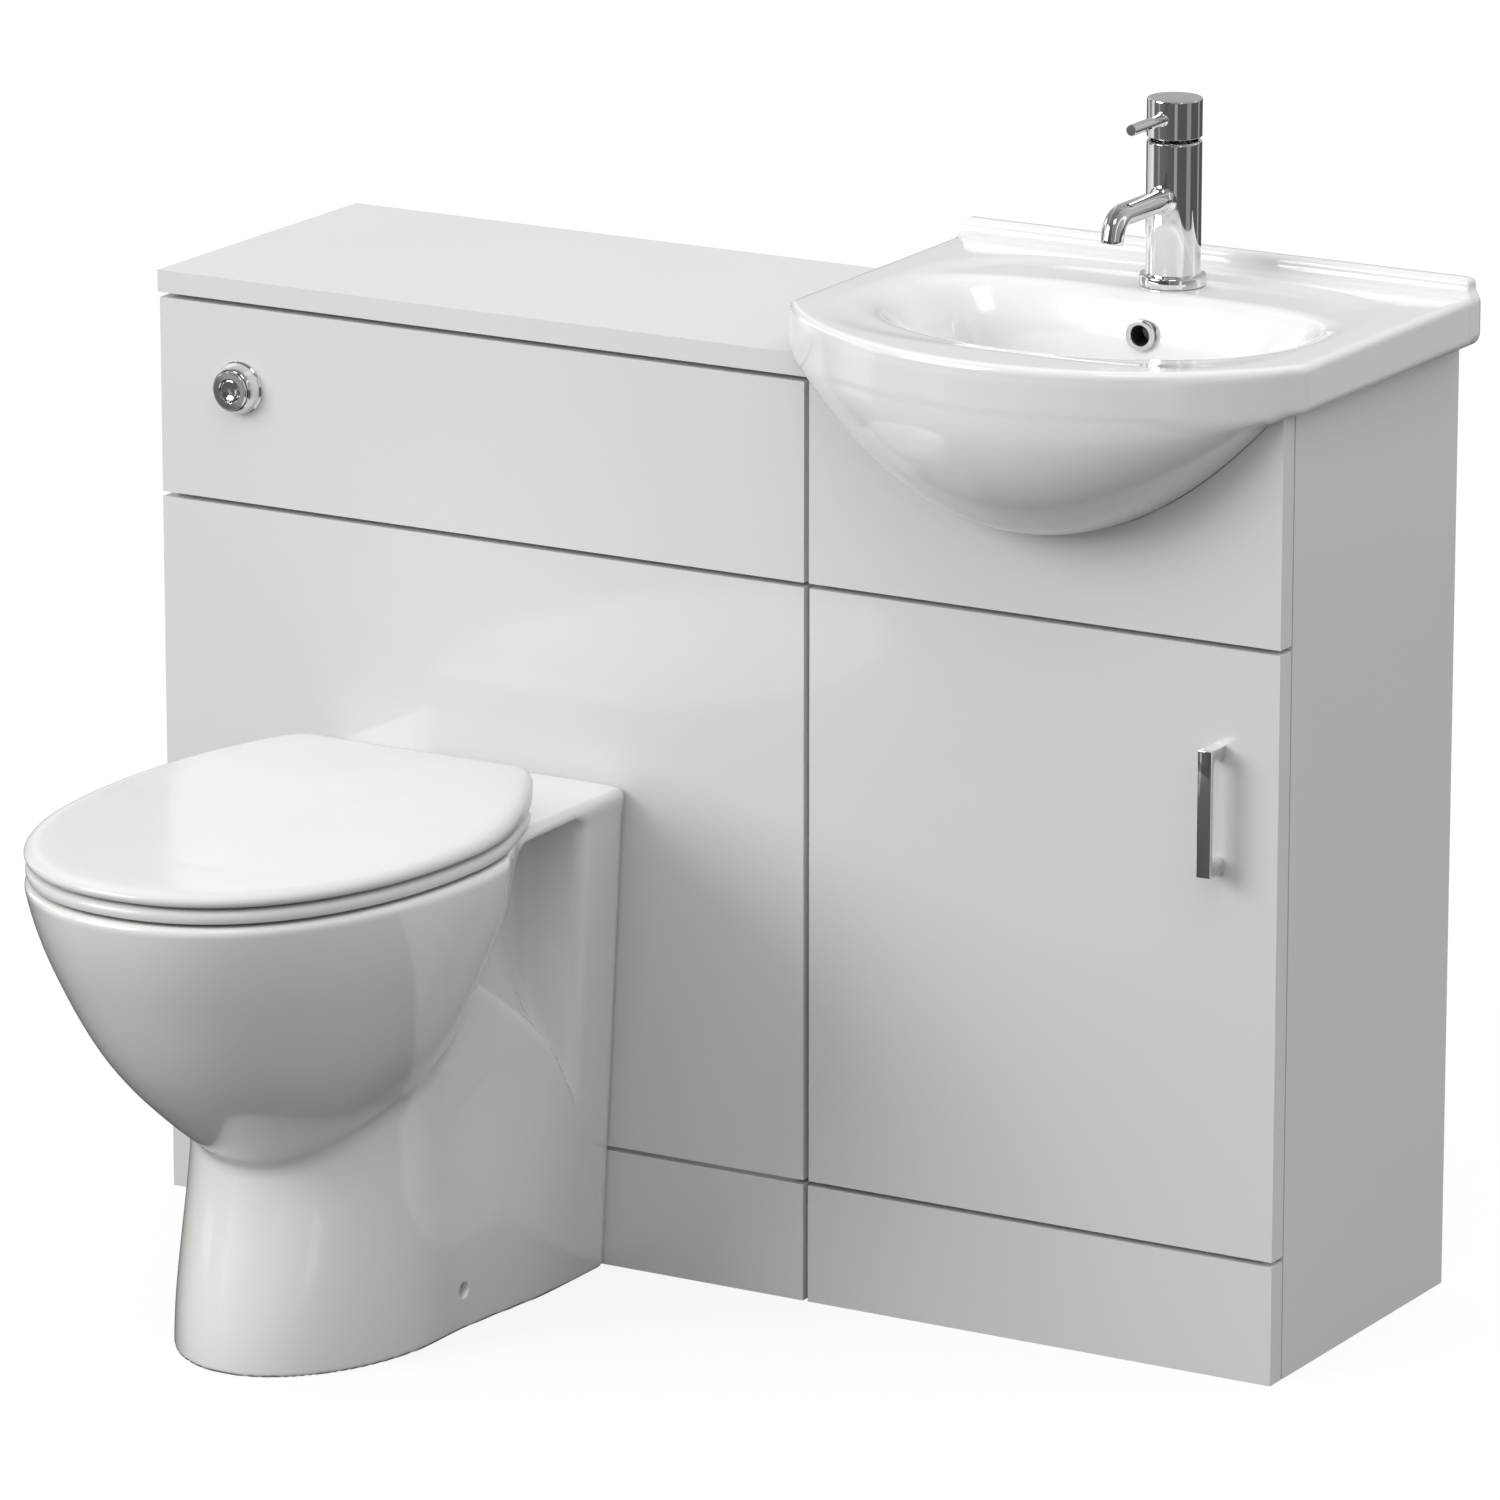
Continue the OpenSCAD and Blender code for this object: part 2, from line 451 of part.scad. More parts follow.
module hinge_cups() color(steel_c) at() for (z = cup_z) {
  difference() {
    union() {
      cyl_y([van_x0 + 22.5, board - 12, z], 17.45, 12);
      bx3([van_x0 + 9, board, z - 26], [30, 0.9, 52]);
    }
    cyl_y([van_x0 + 22.5, board - 10.5, z], 15.8, 20);
  }
}
module hinge_arms() color(steel_c) at() for (z = cup_z) difference() {
  union() {
    bx3([wc_w + board, carc_y + 27, z - 24], [2.5, 36, 48]);
    bx3([wc_w + board + 2, carc_y + 1, z - 7], [12, 68, 14]);
  }
  bx3([wc_w + board + 4.5, carc_y + 6, z - 5.4], [20, 18, 10.8]);
}
module door_handle() color(chrome_c) at() difference() {
  union() {
    bx3([hx - 5.75, -handle_out, hz - handle_l / 2], [11.5, 5, handle_l]);
    for (s = [-1, 1]) cyl_y([hx, -handle_out + 1, hz + s * (handle_l / 2 - 7)], 4, handle_out - 1);
  }
  for (s = [-1, 1]) cyl_y([hx, -16, hz + s * (handle_l / 2 - 7)], 2.05, 17);
}
module handle_screws() color(steel_c) at() for (s = [-1, 1]) {
  cyl_y([hx, -14, hz + s * (handle_l / 2 - 7)], 2, board + 14.5);
  cyl_y([hx, board, hz + s * (handle_l / 2 - 7)], 4.5, 1.6);
}
module corner_blocks() color(white_c) at() {
  for (z = [650, 470, 150, 30]) for (x = [board, wc_w - 2 * board]) bx3([x, board, z], [board, 20, 36]);
  for (z = [610, 30]) for (x = [wc_w + board, van_x1 - 2 * board]) bx3([x, board, z], [board, 20, 36]);
}

// --------------------------------------------------------------------- basin
belly_z = 655; belly_w = 203;       // foot of the bowl and its half-width at the rim
function belly(x) = belly_z + (top_h - belly_z) * pow(x / belly_w, 2);
arc_x = 217;
arc_r = (arc_x * arc_x + 106.7 * 106.7) / (2 * 106.7);
function lip_y(x) = -basin_proj + arc_r - sqrt(arc_r * arc_r - x * x);
function belly_l(x) = max(0.5, -lip_y(x) - 7);
function belly_back(x) = 88;
function belly_x(z) = belly_w * sqrt(min(1, (z - belly_z) / (top_h - belly_z)));
// outline of the bowl's outside at height z
function belly_u(x, z) = let (d = top_h - belly(x), h = top_h - min(z, top_h)) d <= h + 0.001 ? 0 : sqrt(1 - pow(h / d, 2));
function belly_ring(z) = let (w = belly_x(z) * 0.9999, n = 20) concat(
  [for (i = [0:n]) let (x = -w * cos(180 * i / n)) [bx + x, -belly_l(x) * belly_u(x, z), z]],
  [for (i = [0:n]) let (x = w * cos(180 * i / n)) [bx + x, 105 + belly_back(x) * belly_u(x, z), z]]);
deck_pts = let (w0 = basin_w / 2, w1 = basin_w / 2 - 3.5) concat(
  [for (i = [-16:16]) let (x = arc_x * i / 16) [x, lip_y(x)]],
  [[w1 - 3, 2], [w1 - 0.5, 12], [w1, 26], [w0, unit_d - 12], [w0 - 1, unit_d - 4], [w0 - 5, unit_d]],
  [[5 - w0, unit_d], [1 - w0, unit_d - 4], [-w0, unit_d - 12], [-w1, 26], [0.5 - w1, 12], [3 - w1, 2]]);
// inside of the bowl
function bin_s(z) = lookup(z - top_h, [[-104, 0.16], [-100, 0.30], [-90, 0.44], [-73, 0.58], [-48, 0.68], [-18, 0.75], [6, 0.80], [22, 0.87], [32, 0.93], [basin_rim, 1.0], [basin_rim + 1, 1.01]]);
function bin_ring(z) = let (s = bin_s(z)) [for (i = [0:39]) let (a = 9 * i, n = sin(a) < 0 ? 2.1 : 3.2, c = pow(abs(cos(a)), 2 / n) * sign(cos(a)), q = pow(abs(sin(a)), 2 / n) * sign(sin(a)))
  [bx + 190 * s * c, waste_y + (q < 0 ? 143 : 92) * s * q, z]];
module basin_shell() difference() {
  union() {
    difference() {
      translate([bx, 0, top_h]) linear_extrude(basin_rim) polygon(deck_pts);
      bx3([bx - 182, 193.5, top_h - 1], [364, unit_d - 13 - 193.5, basin_rim - 12]);
    }
    loft([for (z = [belly_z + 1, belly_z + 5, belly_z + 12, belly_z + 25, belly_z + 45, belly_z + 70, belly_z + 93, top_h - 5, top_h, top_h + basin_rim - 10]) belly_ring(z)]);
    bx3([bx - basin_w / 2 + 5, unit_d - 13, deck_z - 1], [basin_w - 10, 13, upstand_h + 1]);
    cyl_z([bx, waste_y, 645], 36, 30, $fn = 32);
    bar([bx, 186, 772], [bx, 140, 655], 13, $fn = 20);
    bar([bx, 146, 656], [bx, 104, 656], 10.5, $fn = 20);
  }
  loft([for (z = [bowl_z, bowl_z + 4, bowl_z + 14, bowl_z + 31, bowl_z + 56, bowl_z + 86, bowl_z + 110, bowl_z + 126, bowl_z + 136, deck_z, deck_z + 1]) bin_ring(z)]);
  bar([bx, 184, 777], [bx, 140, 656], 7, $fn = 16);
  bar([bx, 146, 656], [bx, waste_y, 656], 5, $fn = 16);
  cyl_z([bx, waste_y, bowl_z - 3], 32.1, 8, $fn = 64);
  cyl_y([bx, 140, 774], 10.1, 46, $fn = 48);
  // seats for the cabinet's side boards
  bx3([wc_w - 1, carc_y - 0.5, 600], [board + 1.5, unit_d, top_h - 600]);
  bx3([van_x1 - board - 0.5, carc_y - 0.5, 600], [board + 30, unit_d, top_h - 600]);
}
module basin() color(ceramic_c) at() difference() {
  resize([0, 0, 0]) basin_shell();
  cyl_z([bx, waste_y, 600], 21.2, 100);
  cyl_z([bx, tap_y, 700], tap_hole_d / 2, 150);
}
module overflow_ring() color(chrome_c) at() difference() {
  union() {
    cyl_y([bx, 163.5, 774], 9.9, 22);
    cyl_y([bx, 161, 774], 13.5, 3);
  }
  cyl_y([bx, 160, 774], 8.2, 30);
}
module waste_body() color(chrome_c) at() difference() {
  union() {
    cyl_z([bx, waste_y, bowl_z - 3], 31.5, 3);
    cyl_z([bx, waste_y, bowl_z - 79], 20.95, 77);
  }
  cyl_z([bx, waste_y, bowl_z - 80], 17.5, 90);
  // overflow slots
  bx3([bx - 6, waste_y - 30, bowl_z - 15], [12, 60, 9]);
}
module waste_nut() color(chrome_c) at() {
  tube_z([bx, waste_y, 640.5], 30, 21, 4.3);
  tube_z([bx, waste_y, 628], 28, 21, 12);
}
module basin_plug() color(chrome_c) at() {
  translate([bx, waste_y, bowl_z + 0.4]) rotate_extrude() polygon([[0, 0], [25, 0], [27, 1.2], [26, 2.6], [18, 3.8], [0, 4.6]]);
  cyl_z([bx, waste_y, bowl_z - 30], 5, 30.5);
  translate([bx, waste_y, bowl_z - 30]) for (a = [0, 120, 240]) rotate([0, 0, a]) bx3([0, -1.5, 0], [16.6, 3, 12]);
}
module trap_body() color(white_c) at() difference() {
  union() {
    cyl_z([bx, waste_y, 572], 27, 24);
    cyl_z([bx, waste_y, 540], 17, 34);
    cyl_z([bx, waste_y, 476], 30, 66);
    cyl_y([bx, waste_y + 10, 515], 20, 48);
  }
  cyl_z([bx, waste_y, 584.5], 21, 20);
  cyl_z([bx, waste_y, 500], 14.5, 100);
  tube_z([bx, waste_y, 470], 27.5, 17, 68);
  cyl_z([bx, waste_y, 470], 14.5, 60);
  cyl_y([bx, waste_y + 24, 515], waste_d / 2 - 0.55, 60);
}
module trap_cup() color(white_c) at() difference() {
  union() {
    cyl_z([bx, waste_y, 438], 33, 36);
    cyl_z([bx, waste_y, 474], 33, 20);
  }
  cyl_z([bx, waste_y, 442], 27.5, 60);
  cyl_z([bx, waste_y, 475.6], 30.1, 30);
}
module trap_outlet_pipe() color(white_c) at() difference() {
  union() {
    cyl_y([bx, waste_y + 34, 515], waste_d / 2 - 0.6, 30);
    cyl_y([bx, waste_y + 60, 515], waste_d / 2, unit_d - waste_y - 60);
  }
  cyl_y([bx, waste_y + 33, 515], waste_d / 2 - 2, unit_d - waste_y - 30);
}

// ----------------------------------------------------------------------- tap
tz = deck_z; tr = tap_d / 2; spz = deck_z + 68; cap_z = deck_z + 115.5; piv_z = deck_z + 95; lev_z = deck_z + 132;
module tap_body() color(chrome_c) at() difference() {
  union() {
    translate([bx, tap_y, tz]) rotate_extrude() polygon([[0, 0], [26.5, 0], [26.5, 5], [25.5, 6.5], [24.5, 7], [tr, 7], [tr, 111], [tr - 1.5, 112.5], [0, 112.5]]);
    cyl_z([bx, tap_y, tz - 11], 17, 12);
    cyl_y([bx, 140, spz], spout_d / 2, tap_y - 140);
    translate([bx, 140, spz - 20]) rotate([180, -90, 0]) rotate_extrude(angle = 90) translate([20, 0]) circle(r = spout_d / 2);
    cyl_z([bx, 120, spz - 22], spout_d / 2, 2.1);
  }
  cyl_z([bx, tap_y, tz + 73], 17.6, 50);
  for (s = [-1, 1]) cyl_z([bx + s * 7.5, tap_y - 4, tz - 12], 4.5, 45);
  cyl_z([bx, tap_y + 9.5, tz - 12], 3.4, 30);
}
module tap_cartridge() color(plastic_c) at() difference() {
  cyl_z([bx, tap_y, tz + 73], 17.5, 27);
  cyl_z([bx, tap_y, tz + 86], 10.05, 20);
}
module tap_carrier() color(plastic_c) at() difference() {
  cyl_z([bx, tap_y, tz + 86.3], 10, 15.7);
  bx3([bx - 3.4, tap_y - 6, tz + 89.5], [6.8, 14, 20]);
  cyl_x([bx - 11, tap_y, piv_z], 1.55, 22);
}
module tap_cap() color(chrome_c) at() union() {
  difference() {
    translate([bx, tap_y, cap_z]) rotate_extrude() polygon([[0, 0], [tr - 0.6, 0], [tr, 0.6], [tr, tap_h - 117.5], [tr - 2, tap_h - 115.5], [0, tap_h - 115.5]]);
    cyl_z([bx, tap_y, cap_z - 1], tr - 2.5, tap_h - 117.5);
    cyl_y([bx, tap_y - 30, lev_z], 4.52, 30);
  }
  bx3([bx - 3, tap_y - 3, piv_z - 4], [6, 6, cap_z + tap_h - 118 - piv_z + 4]);
  cyl_x([bx - 7.5, tap_y, piv_z], 1.5, 15);
}
module tap_lever() color(chrome_c) at() union() {
  cyl_y([bx, tap_y - 67.5, lev_z], 4.5, 67.5 - 17);
  translate([bx, tap_y - 67.5, lev_z]) sphere(r = 4.5);
}
module tap_fixing() color(steel_c) at() {
  cyl_z([bx, tap_y + 9.5, tz - 60], 3.3, 66);
  difference() {
    cyl_z([bx, tap_y, tz - 16.1], 22, 3);
    cyl_z([bx, tap_y + 9.5, tz - 20], 3.5, 10);
    bx3([bx - 13, tap_y - 30, tz - 20], [26, 34, 10]);
  }
  difference() {
    translate([bx, tap_y + 9.5, tz - 25.9]) cylinder(r = 6.5, h = 9.7, $fn = 6);
    cyl_z([bx, tap_y + 9.5, tz - 30], 3.35, 20);
  }
}

wc_side_left();
wc_side_right();
wc_worktop();
wc_front_rails();
wc_back_rails();
wc_fascia();
wc_lower_panel();
wc_plinth();
cistern_tank();
cistern_lid();
flush_valve_body();
flush_valve_tube();
fill_valve();
fill_float();
cistern_backnuts();
flush_pipe();
flush_cone();
pan_connector();
button_bezel();
button_nut();
air_pump_housing();
full_flush_button();
half_flush_button();
pan();
seat();
lid();
seat_hinge_posts();
seat_hinge_pins();
seat_bolts();
seat_buffers();
lid_buffers();
floor_brackets();
pan_side_screws();
vanity_side_left();
vanity_side_right();
vanity_base();
vanity_front_rail();
vanity_back_rails();
vanity_fascia();
vanity_door();
vanity_plinth();
hinge_cups();
hinge_arms();
door_handle();
handle_screws();
corner_blocks();
basin();
overflow_ring();
waste_body();
waste_nut();
basin_plug();
trap_body();
trap_cup();
trap_outlet_pipe();
tap_body();
tap_cartridge();
tap_carrier();
tap_cap();
tap_lever();
tap_fixing();
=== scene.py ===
import json
import math

import bpy
import numpy as np
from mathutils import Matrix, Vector


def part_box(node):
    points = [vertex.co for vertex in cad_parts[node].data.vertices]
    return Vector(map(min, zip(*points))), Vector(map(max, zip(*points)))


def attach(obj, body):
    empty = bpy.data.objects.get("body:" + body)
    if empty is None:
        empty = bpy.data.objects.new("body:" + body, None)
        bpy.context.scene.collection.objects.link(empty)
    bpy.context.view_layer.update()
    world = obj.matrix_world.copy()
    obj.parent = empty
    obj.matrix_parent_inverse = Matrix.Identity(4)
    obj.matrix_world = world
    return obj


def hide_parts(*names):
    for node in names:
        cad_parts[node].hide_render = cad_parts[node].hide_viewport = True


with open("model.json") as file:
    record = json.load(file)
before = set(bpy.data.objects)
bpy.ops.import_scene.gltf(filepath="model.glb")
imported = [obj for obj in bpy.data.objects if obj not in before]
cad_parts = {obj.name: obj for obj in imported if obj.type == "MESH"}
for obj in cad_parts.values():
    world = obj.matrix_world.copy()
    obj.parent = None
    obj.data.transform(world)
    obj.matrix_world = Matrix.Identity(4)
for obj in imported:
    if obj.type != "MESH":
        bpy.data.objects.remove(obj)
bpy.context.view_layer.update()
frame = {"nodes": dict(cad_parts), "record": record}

scene = bpy.context.scene
NODES = frame["nodes"]

# The build frame is in millimetres: X from the left side of the toilet unit, Y = 0 on the fronts, Z up.
OX, OY = 516.5, -115.5
BX, PX = 804.0, 300.0          # centre lines of the basin and the pan
TOP, DECK = 768.0, 807.0       # worktop and basin rim


def to_row(v):
    v = np.asarray(v, float).reshape(-1, 3)
    return (v - [OX, OY, 0.0]) / 1000.0


# --------------------------------------------------------------- materials
def new_material(name):
    m = bpy.data.materials.new(name)
    m.use_nodes = True
    nt = m.node_tree
    bsdf = nt.nodes["Principled BSDF"]
    return m, nt, bsdf


def noise(nt, scale, detail=3.0, rough=0.5, coord=None, stretch=None):
    tex = nt.nodes.new("ShaderNodeTexNoise")
    tex.inputs["Scale"].default_value = scale
    tex.inputs["Detail"].default_value = detail
    tex.inputs["Roughness"].default_value = rough
    if coord is None:
        coord = nt.nodes.new("ShaderNodeTexCoord").outputs["Object"]
    if stretch:
        mp = nt.nodes.new("ShaderNodeMapping")
        mp.inputs["Scale"].default_value = stretch
        nt.links.new(coord, mp.inputs["Vector"])
        coord = mp.outputs["Vector"]
    nt.links.new(coord, tex.inputs["Vector"])
    return tex.outputs["Fac"]


def ramp(nt, fac, stops):
    r = nt.nodes.new("ShaderNodeValToRGB")
    els = r.color_ramp.elements
    while len(els) < len(stops):
        els.new(0.5)
    for e, (p, c) in zip(els, stops):
        e.position = p
        e.color = (*c, 1.0)
    nt.links.new(fac, r.inputs["Fac"])
    return r.outputs["Color"]


def spread(nt, fac, lo, hi):
    r = nt.nodes.new("ShaderNodeMapRange")
    r.inputs["From Min"].default_value = 0.3
    r.inputs["From Max"].default_value = 0.7
    r.inputs["To Min"].default_value = lo
    r.inputs["To Max"].default_value = hi
    nt.links.new(fac, r.inputs["Value"])
    return r.outputs["Result"]


def bump(nt, bsdf, height, strength, distance):
    b = nt.nodes.new("ShaderNodeBump")
    b.inputs["Strength"].default_value = strength
    b.inputs["Distance"].default_value = distance
    nt.links.new(height, b.inputs["Height"])
    nt.links.new(b.outputs["Normal"], bsdf.inputs["Normal"])


def shade(c, f):
    return tuple(min(1.0, x * f) for x in c)


def mat_gloss_panel(name, c):
    m, nt, b = new_material(name)
    nt.links.new(ramp(nt, noise(nt, 3.0, 2.0), [(0.3, shade(c, 0.992)), (0.7, shade(c, 1.006))]), b.inputs["Base Color"])
    nt.links.new(spread(nt, noise(nt, 9.0, 3.0), 0.30, 0.36), b.inputs["Roughness"])
    b.inputs["IOR"].default_value = 1.45
    b.inputs["Coat Weight"].default_value = 0.5
    b.inputs["Coat Roughness"].default_value = 0.08
    b.inputs["Coat IOR"].default_value = 1.48
    bump(nt, b, noise(nt, 260.0, 2.0), 0.05, 0.00006)
    return m


def mat_ceramic(name, c):
    m, nt, b = new_material(name)
    nt.links.new(ramp(nt, noise(nt, 5.0, 3.0), [(0.3, shade(c, 0.985)), (0.7, shade(c, 1.01))]), b.inputs["Base Color"])
    nt.links.new(spread(nt, noise(nt, 14.0, 3.0), 0.16, 0.22), b.inputs["Roughness"])
    b.inputs["IOR"].default_value = 1.5
    b.inputs["Coat Weight"].default_value = 1.0
    b.inputs["Coat Roughness"].default_value = 0.02
    b.inputs["Coat IOR"].default_value = 1.52
    bump(nt, b, noise(nt, 18.0, 2.0), 0.06, 0.0004)
    return m


def mat_plastic(name, c, rough, spec=0.5, coat=0.0, grain=420.0, grain_d=0.00005):
    m, nt, b = new_material(name)
    nt.links.new(ramp(nt, noise(nt, 6.0, 3.0), [(0.3, shade(c, 0.98)), (0.7, shade(c, 1.015))]), b.inputs["Base Color"])
    nt.links.new(spread(nt, noise(nt, 30.0, 3.0), rough * 0.88, rough * 1.12), b.inputs["Roughness"])
    b.inputs["Specular IOR Level"].default_value = spec
    b.inputs["Coat Weight"].default_value = coat
    b.inputs["Coat Roughness"].default_value = 0.04
    bump(nt, b, noise(nt, grain, 2.0), 0.12, grain_d)
    return m


def mat_chrome(name, c, rough=0.035):
    m, nt, b = new_material(name)
    nt.links.new(ramp(nt, noise(nt, 20.0, 2.0), [(0.3, shade(c, 0.985)), (0.7, shade(c, 1.01))]), b.inputs["Base Color"])
    b.inputs["Metallic"].default_value = 1.0
    nt.links.new(spread(nt, noise(nt, 60.0, 4.0), rough * 0.7, rough * 1.6), b.inputs["Roughness"])
    bump(nt, b, noise(nt, 40.0, 1.0), 0.02, 0.0001)
    return m


def mat_steel(name, c):
    m, nt, b = new_material(name)
    streak = noise(nt, 60.0, 4.0, 0.6, stretch=(1.0, 1.0, 14.0))
    nt.links.new(ramp(nt, streak, [(0.3, shade(c, 0.9)), (0.7, shade(c, 1.05))]), b.inputs["Base Color"])
    b.inputs["Metallic"].default_value = 1.0
    nt.links.new(spread(nt, streak, 0.24, 0.38), b.inputs["Roughness"])
    bump(nt, b, streak, 0.1, 0.00008)
    return m


def mat_board(name, c):
    m, nt, b = new_material(name)
    nt.links.new(ramp(nt, noise(nt, 700.0, 3.0, 0.65), [(0.35, shade(c, 0.965)), (0.65, shade(c, 1.01))]), b.inputs["Base Color"])
    nt.links.new(spread(nt, noise(nt, 500.0, 2.0), 0.42, 0.52), b.inputs["Roughness"])
    bump(nt, b, noise(nt, 600.0, 3.0), 0.25, 0.00012)
    return m


def mat_rubber_and_shade(name, c):
    m, nt, b = new_material(name)
    nt.links.new(ramp(nt, noise(nt, 40.0, 4.0), [(0.3, shade(c, 0.8)), (0.7, shade(c, 1.3))]), b.inputs["Base Color"])
    nt.links.new(spread(nt, noise(nt, 80.0, 3.0), 0.6, 0.75), b.inputs["Roughness"])
    bump(nt, b, noise(nt, 900.0, 2.0), 0.2, 0.0001)
    return m


MAT = {
    "gloss_panel": mat_gloss_panel("gloss_panel", (0.715, 0.715, 0.718)),
    "carcass_board": mat_board("carcass_board", (0.70, 0.70, 0.69)),
    "ceramic": mat_ceramic("ceramic", (0.82, 0.81, 0.785)),
    "ceramic_basin": mat_ceramic("ceramic_basin", (0.81, 0.805, 0.795)),
    "seat_plastic": mat_plastic("seat_plastic", (0.69, 0.69, 0.69), 0.24, spec=0.4, coat=0.25),
    "white_plastic": mat_plastic("white_plastic", (0.76, 0.76, 0.75), 0.36),
    "grey_plastic": mat_plastic("grey_plastic", (0.42, 0.43, 0.44), 0.40),
    "red_plastic": mat_plastic("red_plastic", (0.36, 0.03, 0.02), 0.38),
    "blue_plastic": mat_plastic("blue_plastic", (0.02, 0.07, 0.22), 0.38),
    "chrome": mat_chrome("chrome", (0.82, 0.825, 0.83)),
    "steel": mat_steel("steel", (0.60, 0.61, 0.62)),
    "black_rubber": mat_rubber_and_shade("black_rubber", (0.02, 0.02, 0.02)),
}
# painted shade: a near-black lining, made with the rubber recipe, stands in for the shade inside the overflow hole
MAT["overflow_painted_shade"] = mat_rubber_and_shade("overflow_painted_shade", (0.012, 0.012, 0.012))
SLOT = {s["node"]: s["material_slot"] for s in frame["record"]["subparts"]}
BODY = {n: b for b, ns in frame["record"]["behaviour"]["bodies"].items() for n in ns}


def finish_piece(ob, mat, body, replaces=(), smooth=True):
    ob.data.materials.clear()
    ob.data.materials.append(MAT[mat])
    if smooth:
        ob.data.polygons.foreach_set("use_smooth", [True] * len(ob.data.polygons))
    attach(ob, body)
    if replaces:
        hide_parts(*replaces)
    return ob


def mesh_object(name, verts, faces, normals=None):
    """A mesh from points in build millimetres."""
    me = bpy.data.meshes.new(name)
    me.from_pydata([tuple(p) for p in to_row(verts)], [], [tuple(int(i) for i in f) for f in faces])
    me.validate(clean_customdata=False)
    me.update()
    ob = bpy.data.objects.new(name, me)
    scene.collection.objects.link(ob)
    if normals is not None:
        me.polygons.foreach_set("use_smooth", [True] * len(me.polygons))
        me.normals_split_custom_set_from_vertices([tuple(n) for n in normals])
    return ob


def sharpen(ob, angle=32.0):
    """Smooth shading with hard edges above the angle."""
    me = ob.data
    me.polygons.foreach_set("use_smooth", [True] * len(me.polygons))
    me.update()
    me.set_sharp_from_angle(angle=math.radians(angle))
    return ob


def add_bevel(ob, width, segments=3, angle=35.0):
    b = ob.modifiers.new("edge", "BEVEL")
    b.width = width / 1000.0
    b.segments = segments
    b.limit_method = "ANGLE"
    b.angle_limit = math.radians(angle)
    b.harden_normals = True
    b.use_clamp_overlap = True
    return b


# ------------------------------------------------------- implicit surfaces
def axis(parts):
    """Grid lines through stretches (from, to, step)."""
    out = []
    for lo, hi, step in parts:
        n = max(1, int(round((hi - lo) / step)))
        out.append(np.linspace(lo, hi, n, endpoint=False))
    out.append([parts[-1][1]])
    return np.concatenate(out)


def smin(a, b, k):
    h = np.clip(0.5 + 0.5 * (b - a) / k, 0.0, 1.0)
    return b * (1 - h) + a * h - k * h * (1 - h)


def smax(a, b, k):
    return -smin(-a, -b, k)


def slopes(f, X, Y, Z, e):
    return ((f(X + e, Y, Z) - f(X - e, Y, Z)) / (2 * e), (f(X, Y + e, Z) - f(X, Y - e, Z)) / (2 * e), (f(X, Y, Z + e) - f(X, Y, Z - e)) / (2 * e))


def unit_slope(f, X, Y, Z, floor=0.12):
    g = slopes(f, X, Y, Z, 0.5)
    return f(X, Y, Z) / np.maximum(np.sqrt(g[0] ** 2 + g[1] ** 2 + g[2] ** 2), floor)


